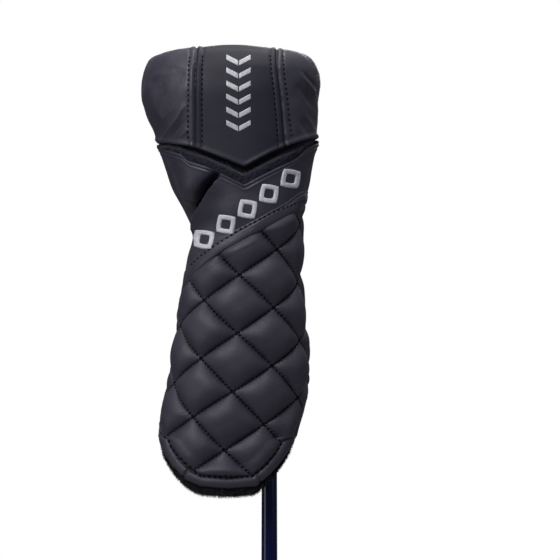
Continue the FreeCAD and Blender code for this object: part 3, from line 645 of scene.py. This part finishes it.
def collar_h(P, N, A, m, lo, hi):
    x, y, z = P[..., 0], P[..., 1], P[..., 2]
    front = sstep(6, -8, y)
    d, run, tot = poly_dist(x, z, SLf)
    slope = 0.84
    dback = (m - lo) * slope
    dd = np.where(front > 0.5, np.abs(d), dback)
    h = 0.75 * sstep(-0.2, 0.9, dd) * (1 - sstep(HEMW - 0.4, HEMW + 0.9, dd))
    h += 0.35 * gauss(dd - 2.6, 2.4)
    h -= 0.5 * gauss(dd - HEMW + 0.7, 0.6)
    e = hi - m
    h += 0.5 * gauss(e - 1.3, 1.1) - 0.6 * gauss(e, 0.5) + 0.25 * gauss(e - 4.2, 1.2) - 0.25 * gauss(e - 3.0, 0.5)
    # the deep fold beside the raised marks
    df, rf, tf_ = poly_dist(x, z, FOLD)
    t = rf / tf_
    amp = np.interp(t, [0, 0.1, 0.25, 0.6, 0.8, 1.0], [0.1, 0.45, 1.0, 1.0, 0.6, 0.0]) * sstep(9, -4, y)
    left = df < 0
    wl = 2.5 + 5.0 * t
    hollow = np.exp(-(np.clip(np.abs(df) - 2.0 - 4.5 * t, 0, 99) / wl) ** 1.5) * sstep(0.0, 1.2, np.abs(df))
    h += amp * np.where(left, 2.4 * (1 - sstep(0.0, 1.8, np.abs(df))) - 17.0 * hollow, 2.4 * np.exp(-(np.abs(df) / 6.0) ** 1.3))
    # edge running down the left side
    de, re_, te = poly_dist(x, z, EDGE_L)
    tee = np.sin(math.pi * np.clip(re_ / te, 0.02, 0.98)) ** 0.5
    tw = re_ / te
    h += tee * sstep(12, -2, y) * (1.0 * gauss(de, 0.9) - (3.4 - 2.4 * tw) * gauss(de + 2.4, 1.7))
    # soft buckles where the waist gathers
    h += 0.45 * lumps(P + 17, 21.0) * (1 - sstep(HEMW - 2, HEMW + 6, HEMW + 6 - dd))
    back = 1 - front
    for k in range(9):
        h += back * 0.5 * np.sin(A * math.pi * (7 + 0) + 0.9 * k) * 0.12
    return h


o, Pc, Nc, hc, Ac, mc = strip("collar_leather", idx_all, B_SL, B_LOW, 170, collar_h, [M_SIDE],
                              skirts=(((-0.7, -0.15), (-1.6, 0.1), (-2.8, 0.5)), ((-0.8, 0.0), (-1.8, -0.6))), wrap=True)
# faces deep in the fold hollow get the near-black material: painted shade of the fold
o.data.materials.append(M_FOLD_SHADE)
sel = np.zeros((175, NC), bool)
sel[3:173] = (hc < -8.0) & (Pc[..., 1] < 6)
o.data.polygons.foreach_set("material_index", sel.ravel()[grid_faces(175, NC, True)[:, 0]].astype(np.int32))
o.data.update()
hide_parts("collar", "collar_hem")

# --- quilted sleeve
E_AN, E_M = on_front([237.3], [333.1])
E_P = surf(E_AN, E_M)[0][0]


def lattice(A, m, z):
    """Quilting coordinates: whole numbers of either are stitch lines."""
    half = np.interp(m, MER, HALF)
    aw = (A + 1) % 2 - 1
    if np.mean(np.abs(aw)) > 0.5:      # the back panel has its own centre line
        aw = aw - np.sign(aw)
    kf = K * (DIST - 28) / DIST
    a = aw * half / kf
    yp = 280 - (z - CZ) / kf
    aE = E_AN[0] * np.interp(E_M[0], MER, HALF) / kf
    yq = (yp - 0.0995 * a) - (333.1 - 0.0995 * aE)
    return (yq / 29.3 + (a - aE) / 38.2) / 2, (yq / 29.3 - (a - aE) / 38.2) / 2


SPACE = 29.6
BAND_Z = float(front_line([(228, 439.5)])[0, 1])


HEM_SEAMS = [front_line([(178, 485), (191, 466)]), front_line([(265, 490), (256, 473)])]


def band_w(P):
    """Width of the rolled hem band: full below the last quilting line at the front, and all along the back hem."""
    front = sstep(4.0, -2.0, P[..., 1])
    low = sstep(BAND_Z + 1.6, BAND_Z - 1.6, P[..., 2])
    return 6.7 - 5.6 * front * (1 - low)


def hem_dist(P, m, lo):
    x, y, z = P[..., 0], P[..., 1], P[..., 2]
    d, run, tot = poly_dist(x, z, HEMf)
    dv = m - lo
    w = sstep(0.0, -14.0, y)
    return np.abs(d) * w + dv * (1 - w)


def pillow(d, half, p=2.3):
    return 1 - np.clip(1 - d / half, 0, 1) ** p


def sleeve_h(P, N, A, m, lo, hi):
    z = P[..., 2]
    al, be = lattice(A, m, z)
    da = np.abs(al - np.round(al)) * SPACE
    db = np.abs(be - np.round(be)) * SPACE
    dh = hem_dist(P, m, lo)
    top_d = hi - m - 3.5
    FARH = band_w(P)
    padf = (pillow(da, 13.5, 2.5) * pillow(db, 13.5, 2.5)) ** 0.80
    inner = sstep(FARH - 0.5, FARH + 0.5, dh)
    aw0 = np.abs((A + 1) % 2 - 1)
    sidef = 1 - 0.42 * gauss((aw0 - 0.5) * np.interp(m, MER, HALF), 17.0)
    h = 5.4 * sidef * padf * pillow(np.clip(dh - FARH, 0, 99), 8.0) * inner
    h *= sstep(-3, 7, top_d)
    h -= inner * (0.35 * gauss(da, 0.55) + 0.35 * gauss(db, 0.55))
    # needle holes along the quilting
    sa = be * 30.5 / 2.75
    sb = al * 30.5 / 2.75
    h -= inner * 0.45 * gauss(da, 0.8) * np.clip(np.cos(sa * 2 * math.pi), 0, 1)
    h -= inner * 0.45 * gauss(db, 0.8) * np.clip(np.cos(sb * 2 * math.pi), 0, 1)
    pk = np.interp(np.minimum(da, db), [0, 1.0, 6.0], [0.4, 1.0, 0.0])
    h += inner * pk * np.where(da < db, -0.13 * np.cos(sa * 2 * math.pi) * np.exp(-da / 3.2), -0.13 * np.cos(sb * 2 * math.pi) * np.exp(-db / 3.2))
    h += inner * 0.12 * lumps(P * np.array([1.0, 1.0, 0.7]) + 31, 6.5) * np.exp(-np.minimum(da, db) / 5.0)
    bead = np.sqrt(np.clip(1 - ((dh - FARH * 0.5) / (FARH * 0.5)) ** 2, 0, 1))
    h += (1 - inner) * (2.3 * bead - 0.15)
    h -= 0.7 * gauss(dh - FARH, 0.8)
    for ln in HEM_SEAMS:
        d, run, tot = poly_dist(P[..., 0], z, ln)
        h -= (1 - inner) * 1.3 * gauss(d, 0.75) * sstep(4, -4, P[..., 1])
    # side seams
    aw = np.abs((A + 1) % 2 - 1)
    ds = (aw - 0.5) * np.interp(m, MER, HALF)
    h *= 1 - 0.75 * gauss(ds, 1.6)
    h -= 0.8 * gauss(ds, 0.7)
    h += 0.16 * lumps(P + 5, 17.0)
    h -= 2.7 * sidef * inner * sstep(-2, 8, top_d) * sstep(0, 10, dh - FARH) + 0.6 * (1 - inner)
    return h - 0.9 * sstep(4, -3, top_d)


front_idx = np.arange(NC // 4, 3 * NC // 4 + 1)
back_idx = np.arange(3 * NC // 4, NC + NC // 4 + 1)
sk_low = ((-0.9, -0.35), (-2.0, -0.35), (-3.0, 0.2), (-3.4, 1.4))
of_, Pq, Nq, hq, Aq, mq = strip("sleeve_front_quilted", front_idx, B_HEM, B_SL + 4.5, 300, sleeve_h, [M_QUILT], skirts=(sk_low, ()))
ob_, Pb, Nb, hb, Ab, mb = strip("sleeve_back_quilted", back_idx, B_HEM, B_SL + 4.5, 240, sleeve_h, [M_QUILT], skirts=(sk_low, ()))
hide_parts("sleeve_front", "front_hem")
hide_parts("sleeve_back", "back_hem")

# --- fleece lining, showing as a lip below the hem, then running up inside
LIP = 5.2


def lining():
    idx = np.arange(0, NC, 2)
    an = COL[idx]
    lo = blur_wrap(B_HEM, 4)[idx]
    rows = []
    prof = [(3.5, -2.6), (1.0, -2.2), (-1.5, -1.5), (-LIP + 1.6, -1.3), (-LIP + 0.3, -2.0), (-LIP, -3.2), (-LIP + 0.4, -4.6), (-1.5, -5.4), (3.0, -5.9), (10, -6.0)]
    for dm, h in prof:
        mm_ = lo + dm
        P, N = surf(an, np.maximum(mm_, 0.05))
        P = P.copy()
        P[:, 2] += np.minimum(mm_, 0)
        rows.append(P + N * h)
    for t in np.linspace(0.03, 1, 70):
        mm_ = (lo + 10) * (1 - t) + t * (MER[-1] - 1.0)
        P, N = surf(an, mm_)
        z = P[:, 2]
        th = np.interp(z, [-74, -50], [5.9, 4.3])
        near = np.maximum(np.maximum(fold_depth(P), fold_depth(P, 3.0)), fold_depth(P, 6.0))
        rows.append(P - N * (th + 18.0 * near)[:, None])
    Q = np.array(rows)
    Q[:10] += (rng.normal(size=Q[:10].shape) * 0.22)
    return mesh("fleece_lining", world(Q).reshape(-1, 3), grid_faces(*Q.shape[:2], True), "headcover", [M_LINING])


o = lining()
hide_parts("pocket_lining", "sleeve_lining", "waist_elastic")
nl = 16000
ai = rng.integers(0, NC, nl)
ai = np.where(rng.uniform(size=nl) < 0.6, (ai // 2 + NC // 4) % NC, ai)
ms = rng.uniform(-LIP, 0.8, nl)
lo = blur_wrap(B_HEM, 4)[ai]
Pf, Nf = surf(COL[ai], lo + ms)
hh = np.interp(ms, [-LIP, -LIP + 1.6, 0.8], [-3.0, -1.6, -2.0])
fib_C.append(Pf + Nf * (hh - 0.3)[:, None])
low = np.interp(ms, [-LIP, -LIP + 2], [1.4, 0.5])
fib_D.append(Nf * 0.8 + np.array([0, 0, -1.0]) * low[:, None] + rng.normal(size=Pf.shape) * 0.45)
o = fibres("gusset_pile_hairs", world(fib_C[0]), fib_D[0], 1.5, 0.11, M_PILE)
o = fibres("hem_fleece_hairs", world(fib_C[1]), fib_D[1], 1.9, 0.12, M_LINING)


# ------------------------------------------------------------------ stitches
def relief_at(an, m, kind):
    an, m = np.asarray(an, float), np.asarray(m, float)
    P, N = surf(an, m)
    j = ((an + 1) % 2) / 2 * NC
    j0 = np.floor(j).astype(int) % NC
    w = j - np.floor(j)

    def at(B):
        return B[j0] * (1 - w) + B[(j0 + 1) % NC] * w
    if kind == "pocket":
        h = pocket_h(P, N, an)
    elif kind == "collar":
        h = collar_h(P, N, an, m, at(B_SL), at(B_LOW))
        P = P + collar_push(P)
    else:
        h = sleeve_h(P, N, an, m, at(B_HEM), at(B_SL) + 4.5)
    return P, N, h


def along(pts_an, pts_m, pitch, kind, lift, name, length, rad, mat=None, start=0.5):
    P, N, h = relief_at(pts_an, pts_m, kind)
    Q = P + N * h[:, None]
    L = np.r_[0, np.cumsum(np.linalg.norm(np.diff(P, axis=0), axis=1))]
    s = np.arange(pitch * start, L[-1], pitch)
    an, m = np.interp(s, L, pts_an), np.interp(s, L, pts_m)
    P, N, h = relief_at(an, m, kind)
    P2 = surf(np.interp(s + 0.4, L, pts_an), np.interp(s + 0.4, L, pts_m))[0]
    P1 = surf(np.interp(s - 0.4, L, pts_an), np.interp(s - 0.4, L, pts_m))[0]
    return P + N * (h + lift)[:, None], P2 - P1, N


def front_path(pts, n=200):
    pts = np.array(pts, float)
    s = np.r_[0, np.cumsum(np.hypot(*np.diff(pts, axis=0).T))]
    q = np.linspace(0, s[-1], n)
    return on_front(np.interp(q, s, pts[:, 0]), np.interp(q, s, pts[:, 1]))


ST = [[], [], []]


def add(c):
    for k in range(3):
        ST[k].append(c[k])


for line in ([(188, 145), (188, 120), (188, 90), (188.6, 66), (189.4, 55)], [(201.6, 149), (201.8, 120), (201.8, 90), (202, 66), (202.4, 54)],
             [(278.6, 148), (276.6, 120), (274, 90), (271.4, 66), (270.2, 54)], [(292.4, 143), (290, 120), (287.2, 90), (284.2, 66), (283, 55)]):
    a, m = front_path(line)
    add(along(a, m, 3.3, "pocket", 0.06, "", 2.0, 0.3))
a, m = front_path([(302.6, 200.5), (273, 212), (242, 228), (220, 243), (200, 257), (190, 266.5)])
add(along(a, m, 3.4, "collar", 0.10, "", 2.0, 0.3))
C = np.concatenate(ST[0])
capsules("topstitch_thread", world(C), np.concatenate(ST[1]), np.concatenate(ST[2]), 1.6, 0.50, M_THREAD_HOLE_SHADE)

HR = []
for line, pitch in (([(167.5, 439.5), (176, 451.5), (186, 462.5), (193, 469), (200, 475.5)], 3.9), ([(201, 475.8), (249, 476.6)], 3.4), ([(250, 476.4), (256, 474), (267.5, 463), (283, 441.5)], 3.9)):
    a, m = front_path(line)
    HR.append(along(a, m, pitch, "sleeve", 0.46, "", 2.0, 0.3))
capsules("hem_thread", world(np.concatenate([q[0] for q in HR])), np.concatenate([q[1] for q in HR]), np.concatenate([q[2] for q in HR]), 1.9, 0.82, M_THREAD_HOLE_SHADE)

# quilting thread: walk every stitch line of the lattice
QC, QT, QN = [], [], []
for Pm, Nm, hm, Am, mm_, loi in ((Pq, Nq, hq, Aq, mq, B_HEM[front_idx % NC]), (Pb, Nb, hb, Ab, mb, B_HEM[back_idx % NC])):
    al, be = lattice(Am, mm_, Pm[..., 2])
    dh = hem_dist(Pm, mm_, loi[None])
    bw = band_w(Pm)
    hi_ = mm_[-1][None] - mm_
    S = Pm + Nm * hm[..., None]
    for U, W in ((al, be), (be, al)):
        # crossings of whole-number U along columns, binned by W into stitches
        f = U - np.floor(U)
        k = (np.floor(U[1:]) != np.floor(U[:-1])) & (np.abs(U[1:] - U[:-1]) < 0.5)
        r, c = np.nonzero(k)
        un = np.maximum(np.floor(U[r, c]), np.floor(U[r + 1, c]))
        t = (un - U[r, c]) / (U[r + 1, c] - U[r, c])
        w = W[r, c] * (1 - t) + W[r + 1, c] * t
        pos = S[r, c] * (1 - t)[:, None] + S[r + 1, c] * t[:, None]
        nn = Nm[r, c]
        d_, f_ = dh[r, c], bw[r, c]
        h_ = hi_[r, c]
        s = w * 30.5 / 2.75
        key = np.round(s - 0.5) + un * 10000
        od_ = np.argsort(key, kind="stable")
        key, pos, nn, d_, f_, h_, s = key[od_], pos[od_], nn[od_], d_[od_], f_[od_], h_[od_], s[od_]
        cut = np.r_[0, np.nonzero(np.diff(key))[0] + 1, len(key)]
        for a_, b_ in zip(cut[:-1], cut[1:]):
            if b_ - a_ < 3 or d_[a_:b_].mean() < f_[a_:b_].mean() or h_[a_:b_].mean() < 6.0:
                continue
            if np.ptp(pos[a_:b_], axis=0).max() > 3.6:
                continue
            ss = s[a_:b_]
            i, j_ = a_ + int(np.argmin(ss)), a_ + int(np.argmax(ss))
            T = pos[j_] - pos[i]
            if np.linalg.norm(T) < 0.8:
                continue
            QC.append(pos[a_:b_].mean(0) + nn[a_] * 0.30)
            QT.append(T)
            QN.append(nn[a_])
    # row round the hem
    k = ((dh[1:] > bw[1:]) != (dh[:-1] > bw[:-1])) & (Pm[1:, :, 1] > 4.0)
    r, c = np.nonzero(k)
    od_ = np.argsort(Am[r, c])
    r, c = r[od_], c[od_]
    path = S[r, c]
    keep = [0]
    for q in range(1, len(path)):
        if 2.9 < np.linalg.norm(path[q] - path[keep[-1]]) < 9:
            keep.append(q)
    for q0, q1 in zip(keep[:-1], keep[1:]):
        T = path[q1] - path[q0]
        if np.linalg.norm(T) < 5:
            QC.append(0.5 * (path[q1] + path[q0]) + Nm[r[q0], c[q0]] * 0.35)
            QT.append(T)
            QN.append(Nm[r[q0], c[q0]])
capsules("quilting_thread", world(np.array(QC)), np.array(QT), np.array(QN), 1.5, 0.76, M_THREAD_HOLE_SHADE)


# ------------------------------------------------------------------ raised marks
def mark(quads, kind, height, nu=10, nv=26, edge=0.75):
    """Plump satin bars: each is a four-cornered stroke in front-view points, laid on the cover."""
    Vs, Fs, base = [], [], 0
    for q in quads:
        q = np.array(q, float)
        u = np.linspace(0, 1, nu)[None, :, None]
        w = np.linspace(0, 1, nv)[:, None, None]
        g = (q[0] * (1 - u) + q[1] * u) * (1 - w) + (q[3] * (1 - u) + q[2] * u) * w
        an, m = on_front(g[..., 0].ravel(), g[..., 1].ravel())
        P, N, h = relief_at(an, m, kind)
        du = np.minimum(u, 1 - u)[..., 0] * np.linalg.norm(q[1] - q[0]) * 0.63
        dw = np.minimum(w, 1 - w)[..., 0] * np.linalg.norm(q[3] - q[0]) * 0.63
        d = np.minimum(np.broadcast_to(du, (nv, nu)), np.broadcast_to(dw, (nv, nu))).ravel()
        rise = height * np.sqrt(np.clip(1 - (1 - np.clip(d / edge, 0, 1)) ** 2, 0, 1)) - 0.12 * (d < 1e-6)
        hs = np.maximum(h, -0.6)
        Vs.append(P + N * (hs + rise)[:, None])
        Fs.append(grid_faces(nv, nu)[:, ::-1] + base)
        base += nu * nv
    return np.concatenate(Vs), np.concatenate(Fs)


def open_diamond(cx, cy, ang, w, h, th, kind, height, nu=11, ns=112):
    """Satin-stitched open diamond with rounded corners, laid on the cover."""
    p = np.linspace(0, 2 * math.pi, ns, endpoint=False)
    e = 2 / 1.18
    u0, v0 = w * np.sign(np.cos(p)) * np.abs(np.cos(p)) ** e, h * np.sign(np.sin(p)) * np.abs(np.sin(p)) ** e
    t = np.linspace(0, 1, nu)[:, None]
    k = 1 - t * th / (w * h / math.hypot(w, h))
    u, v = u0[None] * k, v0[None] * k
    ca, sa = math.cos(ang), math.sin(ang)
    an, m = on_front((cx + u * ca - v * sa).ravel(), (cy + u * sa + v * ca).ravel())
    P, N, hh = relief_at(an, m, kind)
    tt0 = np.broadcast_to(t, (nu, ns)).ravel()
    rise = height * np.clip(1 - np.abs(2 * tt0 - 1) ** 2.6, 0, 1) ** 0.5 - 0.12 * (np.abs(2 * tt0 - 1) > 0.999)
    return P + N * (np.maximum(hh, -0.6) + rise)[:, None], grid_faces(nu, ns, True)


Vs, Fs, nb = [], [], 0
base0, base1 = np.array([204.6, 239.6]), np.array([290.4, 178.6])
ang = math.atan2(base1[1] - base0[1], base1[0] - base0[0])
for t in np.linspace(0, 1, 5):
    c_ = base0 + (base1 - base0) * t
    v_, f_ = open_diamond(c_[0], c_[1], ang, 12.0, 11.8, 4.4, "collar", 0.95)
    Vs.append(v_)
    Fs.append(f_ + nb)
    nb += len(v_)
Vm, Fm = np.concatenate(Vs), np.concatenate(Fs)
o = mesh("raised_diamonds", world(Vm), Fm, "headcover", [M_SILVER])
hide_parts("stitched_diamonds")
bars = []
for i in range(6):
    y = 53.5 + i * 13.2
    bars.append([(226, y), (238.4, y + 6.4), (238.4, y + 12.0), (226, y + 5.6)])
    bars.append([(238.9, y + 6.4), (251, y), (251, y + 5.6), (238.9, y + 12.0)])
Vm, Fm = mark(bars, "pocket", 0.28, 14, 10, 0.4)
Fm = Fm[:, ::-1]
o = mesh("printed_chevrons", world(Vm), Fm, "headcover", [M_PRINT])
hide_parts("printed_bars")

# ------------------------------------------------------------------ club: materials on the CAD pieces
def simple(name, col, rough, metal=0.0, coat=0.0, nscale=400, var=0.12, bdist=0.00005, stretch=None):
    m, nt, b, co = new_mat(name)
    if stretch is not None:
        mp = nt.nodes.new("ShaderNodeMapping")
        mp.inputs["Scale"].default_value = stretch
        nt.links.new(co, mp.inputs["Vector"])
        co = mp.outputs["Vector"]
    nt.links.new(ramp(nt, noise(nt, co, nscale, 4), [(0.3, tuple(c * (1 - var) for c in col)), (0.7, tuple(min(1, c * (1 + var)) for c in col))]), b.inputs["Base Color"])
    nt.links.new(maprange(nt, noise(nt, co, nscale * 1.7, 3), max(0.02, rough * 0.82), rough * 1.18), b.inputs["Roughness"])
    b.inputs["Metallic"].default_value = metal
    if coat:
        b.inputs["Coat Weight"].default_value = coat
        b.inputs["Coat Roughness"].default_value = 0.06
    bump(nt, b, noise(nt, co, nscale * 2.5, 2), bdist, 0.35)
    return m


def carbon(name):
    m, nt, b, co = new_mat(name)
    ch = nt.nodes.new("ShaderNodeTexChecker")
    ch.inputs["Scale"].default_value = 420
    ch.inputs["Color1"].default_value = (0.006, 0.006, 0.007, 1)
    ch.inputs["Color2"].default_value = (0.022, 0.022, 0.025, 1)
    mp = nt.nodes.new("ShaderNodeMapping")
    mp.inputs["Rotation"].default_value = (math.radians(33), math.radians(8), math.radians(45))
    nt.links.new(co, mp.inputs["Vector"])
    nt.links.new(mp.outputs["Vector"], ch.inputs["Vector"])
    nt.links.new(ch.outputs["Color"], b.inputs["Base Color"])
    b.inputs["Roughness"].default_value = 0.35
    b.inputs["Coat Weight"].default_value = 1.0
    b.inputs["Coat Roughness"].default_value = 0.04
    bump(nt, b, ch.outputs["Fac"], 0.00005, 0.4)
    return m


CLUB = {
    "shaft": simple("shaft_navy_gloss", (0.0022, 0.0048, 0.0350), 0.20, 0.0, 0.14, 300, 0.10, 0.000004),
    "tip_plug": simple("plug_plastic", (0.10, 0.10, 0.10), 0.6),
    "ferrule": simple("ferrule_gloss", (0.008, 0.008, 0.009), 0.18, 0, 0.8),
    "hosel_adapter": simple("adapter_anodised", (0.05, 0.05, 0.055), 0.35, 0.9, 0, 500, 0.1, 0.00004, (1, 1, 8)),
    "adjuster_ring": simple("ring_anodised", (0.035, 0.035, 0.04), 0.33, 0.9),
    "hosel_bolt": simple("bolt_steel", (0.45, 0.45, 0.46), 0.28, 1.0),
    "bolt_washer": simple("washer_steel", (0.5, 0.5, 0.5), 0.32, 1.0),
    "head_shell": simple("head_black_steel", (0.030, 0.030, 0.034), 0.30, 0.85, 0.3, 350, 0.15, 0.00004),
    "face_insert": simple("face_brushed", (0.33, 0.33, 0.35), 0.34, 1.0, 0, 260, 0.12, 0.00006, (1, 14, 1)),
    "crown": carbon("crown_carbon"),
    "front_weight": simple("weight_steel_front", (0.42, 0.42, 0.44), 0.26, 1.0),
    "rear_weight": simple("weight_steel_rear", (0.42, 0.42, 0.44), 0.26, 1.0),
    "grip_tape": simple("tape", (0.62, 0.60, 0.55), 0.8),
    "grip_cap": simple("cap_rubber", (0.018, 0.018, 0.02), 0.68),
    "grip": simple("grip_rubber", (0.020, 0.020, 0.022), 0.72, 0, 0, 900, 0.2, 0.0002),
}
CLUB["shaft"].node_tree.nodes["Principled BSDF"].inputs["Specular IOR Level"].default_value = 0.28
for n, mt in CLUB.items():
    o = frame["nodes"][n]
    o.data.materials.clear()
    o.data.materials.append(mt)

# ------------------------------------------------------------------ floor, light
a_ = np.linspace(0, 2 * math.pi, 96, endpoint=False)
me = bpy.data.meshes.new("floor")
me.from_pydata([(3.0 * math.cos(q), 3.0 * math.sin(q), -0.001) for q in a_], [], [list(range(96))])
fl = bpy.data.objects.new("floor", me)
bpy.context.scene.collection.objects.link(fl)
fm, nt, b, co = new_mat("floor_pale")
nt.links.new(ramp(nt, noise(nt, co, 6, 2), [(0.3, (0.70, 0.70, 0.70)), (0.7, (0.73, 0.73, 0.73))]), b.inputs["Base Color"])
b.inputs["Roughness"].default_value = 0.9
b2 = nt.nodes.new("ShaderNodeBsdfPrincipled")
b2.inputs["Base Color"].default_value = (0.38, 0.38, 0.38, 1)
b2.inputs["Roughness"].default_value = 0.9
nt.links.new(ramp(nt, noise(nt, co, 6, 2), [(0.3, (0.86, 0.86, 0.86)), (0.7, (0.89, 0.89, 0.89))]), b.inputs["Base Color"])
b.inputs["Emission Color"].default_value = (1, 1, 1, 1)
b.inputs["Emission Strength"].default_value = 0.42
lpf, mxf = nt.nodes.new("ShaderNodeLightPath"), nt.nodes.new("ShaderNodeMixShader")
nt.links.new(lpf.outputs["Is Camera Ray"], mxf.inputs["Fac"])
nt.links.new(b2.outputs[0], mxf.inputs[1])
nt.links.new(b.outputs[0], mxf.inputs[2])
nt.links.new(mxf.outputs[0], nt.nodes["Material Output"].inputs["Surface"])
me.materials.append(fm)

w = bpy.data.worlds.new("studio")
bpy.context.scene.world = w
w.use_nodes = True
nt = w.node_tree
out = nt.nodes["World Output"]
bg = nt.nodes["Background"]
tc = nt.nodes.new("ShaderNodeTexCoord")
sp = nt.nodes.new("ShaderNodeSeparateXYZ")
nt.links.new(tc.outputs["Generated"], sp.inputs[0])
mr = nt.nodes.new("ShaderNodeMapRange")
mr.inputs["From Min"].default_value = -1.0
mr.inputs["From Max"].default_value = 1.0
nt.links.new(sp.outputs["Z"], mr.inputs["Value"])
nt.links.new(ramp(nt, mr.outputs["Result"], [(0.0, (0.037, 0.036, 0.050)), (0.46, (0.067, 0.066, 0.082)), (0.62, (0.185, 0.183, 0.205)), (1.0, (0.80, 0.80, 0.83))]), bg.inputs["Color"])
bg.inputs["Strength"].default_value = 1.0
bw2 = nt.nodes.new("ShaderNodeBackground")
bw2.inputs["Color"].default_value = (1, 1, 1, 1)
bw2.inputs["Strength"].default_value = 1.0
lp = nt.nodes.new("ShaderNodeLightPath")
mx = nt.nodes.new("ShaderNodeMixShader")
nt.links.new(lp.outputs["Is Camera Ray"], mx.inputs["Fac"])
nt.links.new(bg.outputs[0], mx.inputs[1])
nt.links.new(bw2.outputs[0], mx.inputs[2])
nt.links.new(mx.outputs[0], out.inputs["Surface"])
bpy.context.scene.view_settings.view_transform = "Standard"


def area(name, loc, target, size, power, spread=180):
    l = bpy.data.lights.new(name, "AREA")
    l.shape = "DISK"
    l.size = size
    l.energy = power
    l.spread = math.radians(spread)
    o = bpy.data.objects.new(name, l)
    bpy.context.scene.collection.objects.link(o)
    o.location = loc
    from mathutils import Vector
    o.rotation_euler = (Vector(target) - Vector(loc)).to_track_quat("-Z", "Y").to_euler()
    return o


area("key", (-0.75, -1.25, 2.15), (0, 0, 1.0), 1.1, 5.6, 80)
area("top", (0.18, 0.2, 2.4), (0, 0, 1.05), 0.6, 2.5, 90)
area("fill_left", (-1.5, -0.6, 0.85), (0, 0, 1.06), 0.8, 0.85, 90)
area("fill_back", (0.15, 2.0, 1.7), (0, 0, 1.0), 0.9, 3.0, 90)
area("fill_right", (1.5, -0.9, 1.15), (0, 0, 0.98), 0.9, 1.5)
